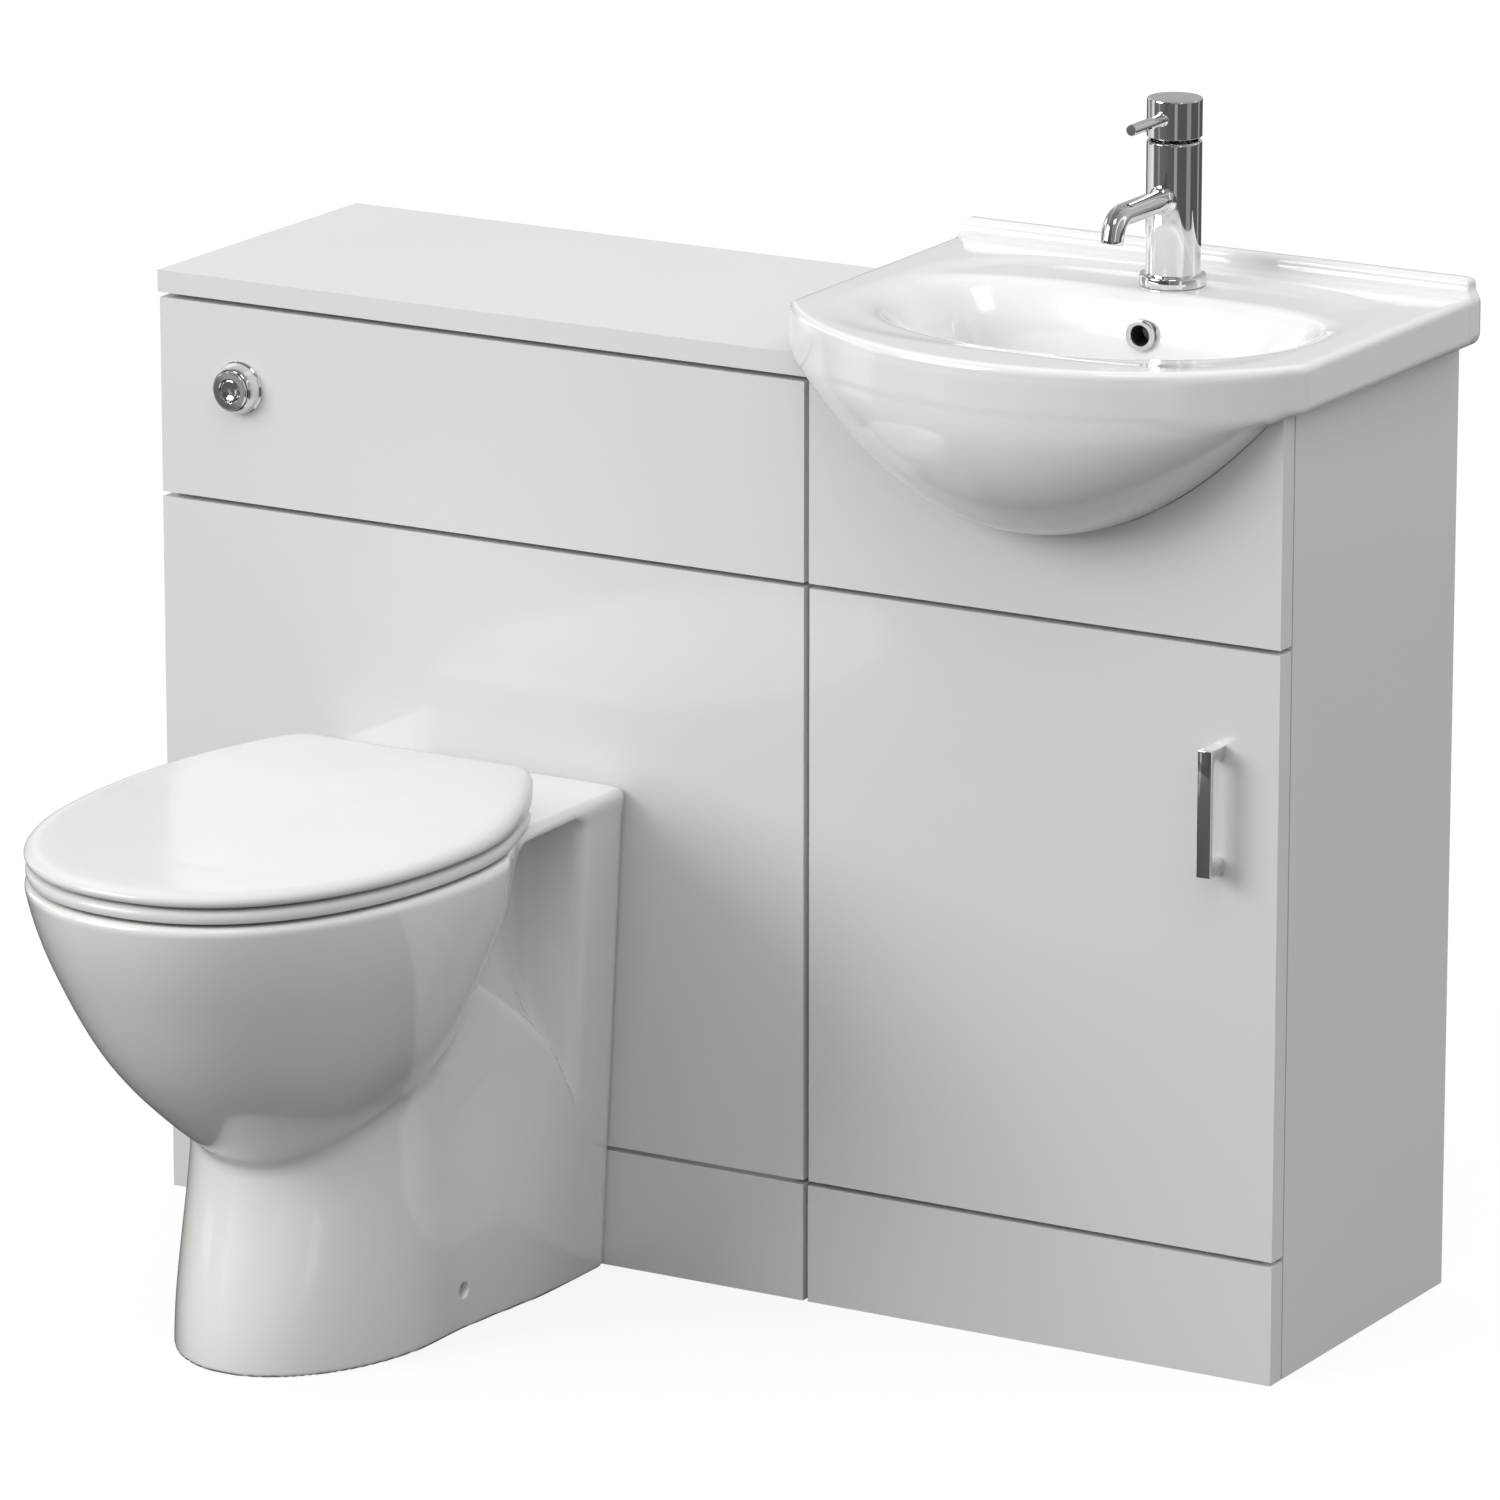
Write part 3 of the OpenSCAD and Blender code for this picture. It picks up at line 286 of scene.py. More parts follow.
def surface_net(field, ax):
    """Quads on the zero level of a field, with one vertex in each cell that the surface crosses."""
    F = field(*np.meshgrid(*ax, indexing="ij", sparse=True))
    s = F < 0
    n = F.shape
    count = np.zeros(tuple(k - 1 for k in n), np.int8)
    for dx in (0, 1):
        for dy in (0, 1):
            for dz in (0, 1):
                count += s[dx:n[0] - 1 + dx, dy:n[1] - 1 + dy, dz:n[2] - 1 + dz]
    mixed = (count > 0) & (count < 8)
    cells = np.argwhere(mixed)
    index = np.full(mixed.shape, -1, np.int64)
    index[mixed] = np.arange(len(cells))
    P = np.zeros((len(cells), 3))
    C = np.zeros(len(cells))
    for a in range(3):
        b, c = (a + 1) % 3, (a + 2) % 3
        for ob in (0, 1):
            for oc in (0, 1):
                i0 = cells.copy()
                i0[:, b] += ob
                i0[:, c] += oc
                i1 = i0.copy()
                i1[:, a] += 1
                f0, f1 = F[tuple(i0.T)], F[tuple(i1.T)]
                hit = (f0 < 0) != (f1 < 0)
                t = f0[hit] / (f0[hit] - f1[hit])
                q = np.stack([ax[k][i0[hit, k]] for k in range(3)], -1)
                q[:, a] += t * (ax[a][i1[hit, a]] - ax[a][i0[hit, a]])
                P[hit] += q
                C[hit] += 1
    P /= C[:, None]
    quads = []
    for a in range(3):
        b, c = (a + 1) % 3, (a + 2) % 3
        lo = [slice(None)] * 3
        hi = [slice(None)] * 3
        lo[a], hi[a] = slice(0, -1), slice(1, None)
        for k in (b, c):
            lo[k] = hi[k] = slice(1, -1)
        s0, s1 = s[tuple(lo)], s[tuple(hi)]
        at = np.argwhere(s0 != s1)
        inside = s0[tuple(at.T)]
        for k in (b, c):
            at[:, k] += 1

        def cell(db, dc):
            q = at.copy()
            q[:, b] += db
            q[:, c] += dc
            return index[tuple(q.T)]

        quad = np.stack([cell(-1, -1), cell(0, -1), cell(0, 0), cell(-1, 0)], -1)
        quad[~inside] = quad[~inside][:, ::-1]
        quads.append(quad)
    quads = np.concatenate(quads)
    E = np.concatenate([quads[:, [0, 1]], quads[:, [1, 2]], quads[:, [2, 3]], quads[:, [3, 0]]])

    def average(V):
        total, n = np.zeros_like(V), np.zeros(len(V))
        for a, b in ((0, 1), (1, 0)):
            for k in range(3):
                total[:, k] += np.bincount(E[:, a], V[E[:, b], k], len(V))
            n += np.bincount(E[:, a], minlength=len(V))
        return total / np.maximum(n, 1)[:, None]

    def settle(P, most):
        N = np.stack(slopes(field, *P.T, 0.25), -1)
        size = np.linalg.norm(N, axis=1)
        return P - N * (np.clip(field(*P.T) / np.maximum(size, 0.4), -most, most) / np.maximum(size, 1e-6))[:, None]

    for turn in range(4):
        P = settle(0.45 * P + 0.55 * average(P), 0.9)
    P = settle(settle(P, 0.6), 0.6)
    N = np.stack(slopes(field, *P.T, 0.7), -1)
    N /= np.maximum(np.linalg.norm(N, axis=1), 1e-6)[:, None]
    N = N + 0.5 * average(N)
    N /= np.maximum(np.linalg.norm(N, axis=1), 1e-6)[:, None]
    return P, quads, N


def net_object(name, field, ax, x):
    P, Q, N = surface_net(field, ax)
    return mesh_object(name, P + np.array([x, 0, 0]), Q, N)


def tube_distance(X, Y, Z, pts):
    """Distance to a chain of segments."""
    best = None
    for p, q in zip(pts[:-1], pts[1:]):
        p, q = np.array(p, float), np.array(q, float)
        d = q - p
        t = np.clip(((X - p[0]) * d[0] + (Y - p[1]) * d[1] + (Z - p[2]) * d[2]) / (d @ d), 0, 1)
        r = (X - p[0] - t * d[0]) ** 2 + (Y - p[1] - t * d[1]) ** 2 + (Z - p[2] - t * d[2]) ** 2
        best = r if best is None else np.minimum(best, r)
    return np.sqrt(best)


def curve(x, xs, ys):
    """A smooth curve through the points, level beyond its ends."""
    xs, ys = np.array(xs, float), np.array(ys, float)
    d = np.diff(ys) / np.diff(xs)
    m = np.concatenate([[d[0]], 2 * d[:-1] * d[1:] / np.where(np.abs(d[:-1] + d[1:]) < 1e-9, 1.0, d[:-1] + d[1:]) * (d[:-1] * d[1:] > 0), [d[-1]]])
    x = np.clip(x, xs[0], xs[-1])
    i = np.clip(np.searchsorted(xs, x) - 1, 0, len(xs) - 2)
    h = xs[i + 1] - xs[i]
    t = (x - xs[i]) / h
    return (ys[i] * (1 + 2 * t) * (1 - t) ** 2 + m[i] * h * t * (1 - t) ** 2 + ys[i + 1] * t * t * (3 - 2 * t) + m[i + 1] * h * t * t * (t - 1))


def step(t):
    u = np.clip(t, 0.0, 1.0)
    return u * u * (3 - 2 * u)


COARSE = 1.0

# --------------------------------------------------------------------- pan
ZT = [120, 150, 170, 185, 205, 228, 254, 282, 313, 348, 376, 402]
FT = [20, 66, 94, 114, 138, 162.5, 185.5, 205, 223, 240.5, 251, 258]


def pan_axes():
    c = COARSE
    return [axis([(-182, -60, 4 * c), (-60, 60, 5 * c), (60, 182, 4 * c)]),
          axis([(-533, -505, 2.5 * c), (-505, -204, 4.2 * c), (-204, -186, 1.3 * c), (-186, -70, 4 * c), (-70, -16, 3.4 * c), (-16, 2, 1.8 * c), (2, 24, 4 * c)]),
          axis([(-6, 4, 2.5 * c), (4, 23, 4 * c), (23, 41, 1.3 * c), (41, 372, 4 * c), (372, 404, 1.7 * c)])]


def pan_bowl(X, Y, Z):
    f = curve(Z, ZT, FT)
    w = 0.6805 * f
    yy = Y + 270
    n = 2.15
    k = (np.power(np.abs(X) / w, n) + np.power(np.abs(yy) / np.where(yy < 0, f, 0.62 * f), n)) ** (1 / n)
    return (k - 1) * w


def pan_foot(X, Y, Z):
    """Upright sides that end in a sloping arch, with a recess above it."""
    front = -383 + 34 * step(Z / 190)
    l = -230 - front
    wf = 117.5 + 21.5 * Z / 400
    lean = step((Y + 215) / 165)
    base = (104 - 6 * step(Z / 200)) * (1 - lean) + (wf + 0.5) * lean
    kf = np.sqrt((X / base) ** 2 + np.where(Y < -230, (Y + 230) / l, 0.0) ** 2)
    up = (Z - arch_line(Y)) * 0.72
    up = 0.5 * (up + np.sqrt(up * up + 14.0)) - 0.6
    drop = 62 * (1 - np.exp(-np.clip(up, 0, None) / 30.0))
    return (kf - 1) * base + drop


def arch_line(Y):
    return curve(Y, [-400, -250, -215, -188, -165, -143, -118, -95, -77, -58, -40, 0], [380, 318, 300, 286, 272, 255, 234, 211, 184, 152, 112, 20])


def pan_inner(X, Y, Z):
    s = curve(Z, [119, 128, 140, 170, 210, 260, 310, 350, 386, 402], [0.3, 0.32, 0.40, 0.50, 0.60, 0.72, 0.84, 0.93, 0.985, 1.0])
    yi = Y - curve(Z, [128, 200, 300, 402], [-262, -268, -300, -325])
    rx, ry = 112 * s, np.where(yi < 0, 145, 128) * s
    return (np.sqrt((X / rx) ** 2 + (yi / ry) ** 2) - 1) * rx


def pan_field(X, Y, Z):
    A = np.abs(X)
    bowl = unit_slope(pan_bowl, X, Y, Z)
    bowl = smax(bowl, 138 - Z, 8)
    wf = 117.5 + 21.5 * Z / 400
    arch = arch_line(Y)
    foot = unit_slope(pan_foot, X, Y, Z, 0.3)
    foot = smax(foot, Y + 4, 6)
    foot = smax(foot, -395 + Z, 4)
    above = np.clip((Z - arch) / 30.0, 0, 1)
    body = smin(bowl, foot, 9 + 24 * above)
    # rear flange against the cabinet
    fl = smax(A - wf, np.abs(Y + 32) - 32, 13)
    body = smin(body, fl, 1.0 + 12.0 * above)
    # level top behind the bowl
    qx, qy = A - (138 - 25), Y + 25
    corner = np.sqrt(np.clip(qx, 0, None) ** 2 + np.clip(qy, 0, None) ** 2) + np.minimum(np.maximum(qx, qy), 0) - 25
    shelf = smax(corner, np.maximum(390 - Z, -(Y + 240)), 5)
    body = smin(body, shelf, 14)
    limit = A - (wf + 0.2 + curve(Y, [-300, -245, -205, -160, -110, 0], [70, 44, 19, 4, 0.3, 0]))
    body = smax(body, limit, 5)
    body = smax(body, Z - 400, 9)
    body = smax(body, Y, 2.5)
    body = smax(body, -Z, 2.5)
    # hollow foot and back
    hol = np.maximum(np.sqrt((A / 93) ** 2 + np.where(Y < -230, (Y + 230) / 113, 0.0) ** 2) * 93 - 93, Z - 139)
    body = smax(body, -hol, 4)
    rear = np.maximum(np.maximum(A - 49, -178 - Y), np.maximum(130 - Z, Z - 378))
    body = smax(body, -rear, 4)
    # bowl's wall, trapway and flush inlet inside the hollows
    inner = unit_slope(pan_inner, X, Y, Z, 0.3)
    inner = smax(inner, 124 - Z, 14)
    wall = np.maximum(np.maximum(inner - 11, 113 - Z), Z - 390)
    body = np.minimum(body, np.maximum(wall, bowl))
    trap = [(0, -276, 150), (0, -262, 124), (0, -236, 109), (0, -206, 112), (0, -182, 136), (0, -164, 170), (0, -146, 202), (0, -122, 218), (0, -98, 214), (0, -78, 196), (0, -58, 182), (0, -40, 180), (0, 20, 180)]
    dt = tube_distance(X, Y, Z, trap)
    body = np.minimum(body, np.maximum(np.maximum(dt - 44, Y - 20), 110 - Z * 0 - 600))
    spig = np.sqrt(X ** 2 + (Z - 180) ** 2)
    body = np.minimum(body, np.maximum(np.maximum(spig - 51, -44 - Y), Y - 20))
    inlet = np.sqrt(X ** 2 + (Z - 320) ** 2)
    body = np.minimum(body, np.maximum(np.maximum(inlet - 35.5, -206 - Y), Y + 0.2))
    body = smax(body, -inner, 9)
    body = smax(body, -np.maximum(dt - 36, Y - 30), 5)
    body = smax(body, -np.maximum(np.maximum(spig - 43, -38 - Y), Y - 40), 2)
    body = smax(body, -np.maximum(np.maximum(inlet - 27.6, -70 - Y), Y - 20), 2)
    body = smax(body, -np.maximum(np.maximum(inlet - 22, -232 - Y), Y + 60), 3)
    # side fixing holes with a soft edge, and seat bolt holes
    hole = np.sqrt((Y + 195) ** 2 + (Z - 32) ** 2) - 5.0 - np.clip(A - 99.5, 0, 8) * 0.12
    body = smax(body, -np.maximum(hole, 85 - A), 1.6)
    for sx in (-1, 1):
        b = np.sqrt((X - sx * 77.5) ** 2 + (Y + 112) ** 2) - 8
        body = smax(body, -np.maximum(b, 366 - Z), 1.5)
    return body


pan = net_object("pan_casting", pan_field, pan_axes(), PX)
finish_piece(pan, "ceramic", "carcass", ["pan"])


# ------------------------------------------------------------------- basin
def basin_axes():
    c = COARSE
    return [axis([(-235, -196, 2.4 * c), (-196, -40, 3.6 * c), (-40, 40, 3.2 * c), (40, 196, 3.6 * c), (196, 235, 2.4 * c)]),
          axis([(-116, -92, 2.2 * c), (-92, -40, 3.2 * c), (-40, 150, 4 * c), (150, 200, 3 * c), (200, 270, 4 * c), (270, 301, 1.9 * c)]),
            axis([(640, 750, 3.6 * c), (750, 796, 2.6 * c), (796, 826, 1.7 * c)])]


R = (217.0 ** 2 + 106.7 ** 2) / (2 * 106.7)


def basin_belly(X, Y, Z):
    A = np.abs(X)
    d = np.maximum(TOP - (653.5 + 113 * (A / 203.0) ** 2), 0.5)
    lip = -110 + R - np.sqrt(np.maximum(R * R - np.minimum(A, 225) ** 2, 1))
    l = np.maximum(-lip - 0.2, 2.0)
    h = np.clip(TOP + 3 - Z, 0, None) / (d + 3)
    kb = np.sqrt(np.where(Y < 0, (Y / l) ** 2, np.where(Y > 105, ((Y - 105) / 88.0) ** 2, 0.0)) + h ** 2)
    return (kb - 1) * np.minimum(d, 90)


def basin_inside(X, Y, Z):
    s = curve(Z - TOP, [-110, -104, -100, -90, -73, -48, -18, 6, 22, 30, 35, 39, 42], [0.10, 0.16, 0.30, 0.44, 0.58, 0.68, 0.75, 0.80, 0.865, 0.905, 0.94, 0.985, 1.02])
    yy = Y - 95
    nn = np.where(yy < 0, 2.1, 2.1 + 1.1 * step(yy / 40.0))
    kk = np.power(np.power(np.abs(X) / (190 * s), nn) + np.power(np.abs(yy) / (np.where(yy < 0, 143.0, 92.0) * s), nn), 1 / nn)
    return (kk - 1) * 120 * s


def basin_field(X, Y, Z):
    A = np.abs(X)
    arc = np.sqrt(X ** 2 + (Y + 110 - R) ** 2) - R
    side = A - (225.5 + 3.5 * (Y - 26) / 258)
    plan = smax(arc, side, 3.5)
    plan = smax(plan, Y - 296, 5)
    # soft dished top
    rec = np.power(np.power(A / 203.0, 3.4) + np.power(np.abs(Y - 98) / np.where(Y < 98, 168.0, 166.0), 3.4), 1 / 3.4)
    dish = 2.2 * step((1 - rec) * 6.5)
    q1, q2 = plan + 7.0, np.abs(Z - (DECK - dish + TOP) / 2) - (DECK - dish - TOP) / 2 + 7.0
    deck = np.minimum(np.maximum(q1, q2), 0) + np.sqrt(np.clip(q1, 0, None) ** 2 + np.clip(q2, 0, None) ** 2) - 7.0
    # bowl's outside
    belly = unit_slope(basin_belly, X, Y, Z, 0.25)
    belly = smax(belly, A - 207, 6)
    belly = smax(belly, Z - (DECK - 10), 3)
    body = smin(deck, belly, 3.5 + 9.0 * step((A - 120) / 60.0))
    # keeps the front edge on the lip's line
    body = smax(body, plan, 3)
    # upstand
    up1 = np.maximum(A - 223.5, np.abs(Y - 289.5) - 6.5) + 5.0
    up2 = Z - (DECK + 14) + 5.0
    up = np.minimum(np.maximum(up1, up2), 0) + np.sqrt(np.clip(up1, 0, None) ** 2 + np.clip(up2, 0, None) ** 2) - 5.0
    up = np.maximum(up, 780 - Z)
    body = smin(body, up, 10)
    body = smax(body, Y - 296, 1.0)
    # underside behind the bowl
    pocket = np.maximum(np.maximum(A - 182, 193.5 - Y), np.maximum(Y - 283, Z - 794))
    body = smax(body, -pocket, 3)
    boss = np.maximum(np.sqrt(X ** 2 + (Y - 95) ** 2) - 36, np.maximum(645 - Z, Z - 675))
    body = np.minimum(body, boss)
    rib = tube_distance(X, Y, Z, [(0, 186, 772), (0, 140, 655)]) - 13
    body = smin(body, rib, 6)
    body = smin(body, tube_distance(X, Y, Z, [(0, 146, 656), (0, 104, 656)]) - 10.5, 4)
    # inside of the bowl
    inside = unit_slope(basin_inside, X, Y, Z, 0.25)
    inside = smax(inside, 664 - Z, 5)
    body = smax(body, -inside, 5)
    rec2 = np.maximum(np.sqrt(X ** 2 + (Y - 95) ** 2) - 32, 661 - Z)
    body = smax(body, -np.maximum(rec2, Z - 669), 1)
    body = smax(body, -np.maximum(np.sqrt(X ** 2 + (Y - 95) ** 2) - 21.2, Z - 700), 1)
    body = smax(body, -(np.sqrt(X ** 2 + (Y - 217) ** 2) - 17.5), 1)
    ov = np.maximum(np.sqrt(X ** 2 + (Z - 774) ** 2) - 10.1, np.maximum(140 - Y, Y - 186))
    body = smax(body, -ov, 1)
    # seats for the side boards of the cabinet
    for x0, x1 in ((-205, -185.5), (191.5, 222)):
        cut = np.maximum(np.maximum(x0 - X, X - x1), np.maximum(19.5 - Y, Z - TOP))
        body = np.maximum(body, -cut)
    return body


basin = net_object("basin_casting", basin_field, basin_axes(), BX)
finish_piece(basin, "ceramic_basin", "carcass", ["basin"])


# ------------------------------------------------------- seat and lid
LY = [-270, -250, -230, -210, -190, -170, -150, -130, -115, -104, -98, -94]
LW = [172, 170.5, 167.5, 162.5, 156, 148.5, 140, 130, 121.5, 113.5, 107.5, 101]


def w_lid(y):
    if y < -270:
        return 172 * max(0.0, 1 - ((-270 - y) / 254.0) ** 2.25) ** (1 / 2.2)
    return float(np.interp(y, LY, LW))


def outline(n_front, back, n_side=26):
    """Right half of the lid's outline from the front tip to the back edge."""
    half = []
    for i in range(n_front + 1):
        a = math.radians(90 * i / n_front)
        y = -524 + 254 * (1 - math.cos(a))
        half.append((w_lid(y), y))
    for i in range(1, n_side + 1):
        y = -270 + (back + 270) * i / n_side
        half.append((w_lid(y), y))
    return half


def resample(pts, n):
    pts = np.array(pts, float)
    d = np.concatenate([[0], np.cumsum(np.linalg.norm(np.diff(pts, axis=0), axis=1))])
    t = np.linspace(0, d[-1], n)
    return np.stack([np.interp(t, d, pts[:, k]) for k in range(2)], -1)


def closed_outline(back, n=220, corner=7.0):
    half = np.array(outline(60, back))
    wb = half[-1][0]
    right = resample(half[:-1].tolist() + [[wb, back]], n // 2)
    loop = [tuple(p) for p in right]
    m = 14
    loop += [(wb - 2 * wb * i / m, back) for i in range(1, m)]
    loop += [(-x, y) for x, y in reversed(loop[:len(right)])][:-1]
    P = np.array(loop)
    P = resample(np.vstack([P, P[:1]]), n + 1)[:-1]
    for _ in range(2):
        P = 0.5 * P + 0.25 * (np.roll(P, 1, 0) + np.roll(P, -1, 0))
    return P


def offset_loop(P, g):
    t = np.roll(P, -1, 0) - np.roll(P, 1, 0)
    nrm = np.stack([t[:, 1], -t[:, 0]], -1)
    nrm /= np.linalg.norm(nrm, axis=1)[:, None]
    # the loop runs anticlockwise, so this points outward
    for _ in range(3):
        nrm = nrm + np.roll(nrm, 1, 0) + np.roll(nrm, -1, 0)
        nrm /= np.linalg.norm(nrm, axis=1)[:, None]
    return P - nrm * g


def rings_mesh(rings, close_first=None, close_last=None, loop=False):
    """Faces through rings of equal length. A cap is (x, y, z) for a fan's middle."""
    n = len(rings[0])
    V = [tuple(p) for r in rings for p in r]
    Fc = []
    m = len(rings)
    for j in range(m if loop else m - 1):
        a, b = j * n, ((j + 1) % m) * n
        for i in range(n):
            k = (i + 1) % n
            Fc.append((a + i, a + k, b + k, b + i))
    if close_first is not None:
        V.append(tuple(close_first))
        c = len(V) - 1
        Fc += [(c, (i + 1) % n, i) for i in range(n)]
    if close_last is not None:
        V.append(tuple(close_last))
        c = len(V) - 1
        b = (m - 1) * n
        Fc += [(c, b + i, b + (i + 1) % n) for i in range(n)]
    return V, Fc


def ring3(P, z):
    z = np.broadcast_to(z, (len(P),))
    return np.column_stack([P[:, 0] + PX, P[:, 1], z])


RISE = 9.5


def build_lid():
    P0 = closed_outline(-94.0, 240)
    centre = np.array([0.0, -300.0])
    rings = []
    # underside cavity, from its middle outward
    for k in (0.04, 0.3, 0.6, 0.85):
        rings.append(ring3(centre + (offset_loop(P0, 16.5) - centre) * k, 420.6))
    prof = [(16.0, 420.6), (14.6, 420.0), (14.0, 418.8), (13.6, 416.6), (12.6, 415.7), (4.4, 415.5), (2.2, 415.8), (0.7, 417.0), (0.15, 418.6), (0.15, 420.0),
            (0.7, 421.6), (1.9, 423.1), (3.8, 424.3), (6.4, 425.2), (9.8, 425.8), (14.0, 426.2)]
    for g, z in prof:
        rings.append(ring3(offset_loop(P0, g), z))
    inner = offset_loop(P0, 14.0)
    for k in (0.9, 0.78, 0.62, 0.45, 0.28, 0.12, 0.03):
        rings.append(ring3(centre + (inner - centre) * k, 426.2 + 0.75 * (1 - k ** 2)))
    # the back rises over the hinges
    for r in rings[4 + 8:]:
        t = np.clip((r[:, 1] + 285) / 185.0, 0, 1)
        r[:, 2] += RISE * np.where(t < 0.3, t * t / 0.6, t - 0.15) / 0.85
    V, Fc = rings_mesh(rings, (PX, -300, 420.6), (PX, -300, 426.95))
    return V, Fc


V, Fc = build_lid()
lid = mesh_object("lid_shell", V, Fc)
finish_piece(lid, "seat_plastic", "lid", ["lid"])


def rounded_box(name, lo, hi, r, seg=3):
    """A box with every edge rounded, in build millimetres."""
    lo, hi = np.array(lo, float), np.array(hi, float)
    import bmesh
    bm = bmesh.new()
    bmesh.ops.create_cube(bm, size=1.0)
    for v in bm.verts:
        p = lo + (np.array(v.co) + 0.5) * (hi - lo)
        v.co = Vector(to_row(p)[0])
    bmesh.ops.bevel(bm, geom=list(bm.edges), offset=r / 1000.0, segments=seg, profile=0.5, affect="EDGES", clamp_overlap=True)
    me = bpy.data.meshes.new(name)
    bm.to_mesh(me)
    bm.free()
    ob = bpy.data.objects.new(name, me)
    scene.collection.objects.link(ob)
    return sharpen(ob, 40)


def join(name, objs):
    bpy.ops.object.select_all(action="DESELECT")
    for o in objs:
        o.select_set(True)
    bpy.context.view_layer.objects.active = objs[0]
    bpy.ops.object.join()
    ob = bpy.context.view_layer.objects.active
    ob.name = ob.data.name = name
    return ob


def lathe(name, prof, p, axis_dir, seg=96, sharp=30.0):
    """Turns a closed or open (r, h) profile round an axis through p. Radii of 0 close the ends."""
    p = np.array(p, float)
    d = np.array(axis_dir, float) / np.linalg.norm(axis_dir)
    e1 = np.cross(d, [0, 0, 1.0]) if abs(d[2]) < 0.9 else np.cross(d, [0, 1.0, 0])
    e1 /= np.linalg.norm(e1)
    e2 = np.cross(d, e1)
    V, Fc, rings = [], [], []
    for r, h in prof:
        if r < 1e-6:
            V.append(p + d * h)
            rings.append([len(V) - 1])
        else:
            ring = []
            for i in range(seg):
                a = 2 * math.pi * i / seg
                V.append(p + d * h + r * (math.cos(a) * e1 + math.sin(a) * e2))
                ring.append(len(V) - 1)
            rings.append(ring)
    pairs = list(zip(rings[:-1], rings[1:]))
    if len(rings[0]) > 1 and len(rings[-1]) > 1:
        pairs.append((rings[-1], rings[0]))
    for a, b in pairs:
        for i in range(seg):
            k = (i + 1) % seg
            if len(a) == 1:
                Fc.append((a[0], b[i], b[k]))
            elif len(b) == 1:
                Fc.append((a[i], b[0], a[k]))
            else:
                Fc.append((a[i], b[i], b[k], a[k]))
    return sharpen(mesh_object(name, V, Fc), sharp)


def recalc(ob):
    """Faces turned outward."""
    import bmesh
    bm = bmesh.new()
    bm.from_mesh(ob.data)
    bmesh.ops.recalc_face_normals(bm, faces=bm.faces)
    bm.to_mesh(ob.data)
    bm.free()
    return ob


def build_seat():
    P0 = closed_outline(-127.0, 240)
    c = np.array([0.0, -330.0])
    rel = P0 - c
    ang = np.arctan2(rel[:, 1], rel[:, 0])
    ry = np.where(np.sin(ang) < 0, 134.0, 122.0)
    I0 = c + np.stack([106 * np.cos(ang), ry * np.sin(ang)], -1)
    prof_out = [(7.0, 402.9), (3.4, 402.6), (1.9, 403.2), (1.2, 404.8), (1.1, 407.2), (1.6, 409.4), (2.9, 411.3), (5.2, 412.5), (9.5, 413.0)]
    rings = [ring3(offset_loop(P0, g), z) for g, z in prof_out]
    O1, I1 = offset_loop(P0, 9.5), I0 + (I0 - c) / np.linalg.norm(I0 - c, axis=1)[:, None] * 14
    for t in (0.25, 0.5, 0.75):
        rings.append(ring3(O1 * (1 - t) + I1 * t, 413.0))
    for g, z in [(14, 412.9), (9, 411.7), (5, 409.8), (2.2, 407.4), (0.4, 404.8), (1.0, 403.2), (3.5, 402.6), (6.5, 402.9)]:
        rings.append(ring3(I0 + (I0 - c) / np.linalg.norm(I0 - c, axis=1)[:, None] * g, z))
    O2, I2 = offset_loop(P0, 10.0), I0 + (I0 - c) / np.linalg.norm(I0 - c, axis=1)[:, None] * 9.5
    rings.append(ring3(I2, 405.8))
    for t in (0.3, 0.6):
        rings.append(ring3(I2 * (1 - t) + O2 * t, 406.2))
    rings.append(ring3(O2, 405.8))
    return rings_mesh(rings, loop=True)


V, Fc = build_seat()
seat_ring = mesh_object("seat_ring_part", V, Fc)
ears = [rounded_box("seat_ear_%d" % k, (PX + s * 97 - 6, -131, 402.6), (PX + s * 97 + 6, -104, 412.8), 2.0) for k, s in enumerate((-1, 1))]
knuckles = [lathe("seat_knuckle_%d" % k, [(4.06, 0), (7.2, 0), (7.5, 0.3), (7.5, 11.7), (7.2, 12), (4.06, 12)], (PX + s * 97 - 6, -106, 414), (1, 0, 0), 48) for k, s in enumerate((-1, 1))]
seat = recalc(join("seat_ring", [seat_ring, *ears, *knuckles]))
finish_piece(sharpen(seat, 42), "seat_plastic", "seat", ["seat"], smooth=False)

lid_lugs = []
for k, s in enumerate((-1, 1)):
    lid_lugs.append(lathe("lid_knuckle_%d" % k, [(4.06, 0), (7.2, 0), (7.5, 0.3), (7.5, 11.7), (7.2, 12), (4.06, 12)], (PX + s * 58 - 6, -106, 414), (1, 0, 0), 48))
    lid_lugs.append(rounded_box("lid_lug_%d" % k, (PX + s * 58 - 5.8, -112, 416), (PX + s * 58 + 5.8, -100, 422), 0.8))
lugs = recalc(join("lid_knuckles", lid_lugs))
finish_piece(sharpen(lugs, 40), "seat_plastic", "lid", smooth=False)


# --------------------------------------------------------------------- tap
def arc_pts(c, r, a0, a1, n):
    return [(c[0] + r * math.cos(math.radians(a0 + (a1 - a0) * i / n)), c[1] + r * math.sin(math.radians(a0 + (a1 - a0) * i / n))) for i in range(n + 1)]


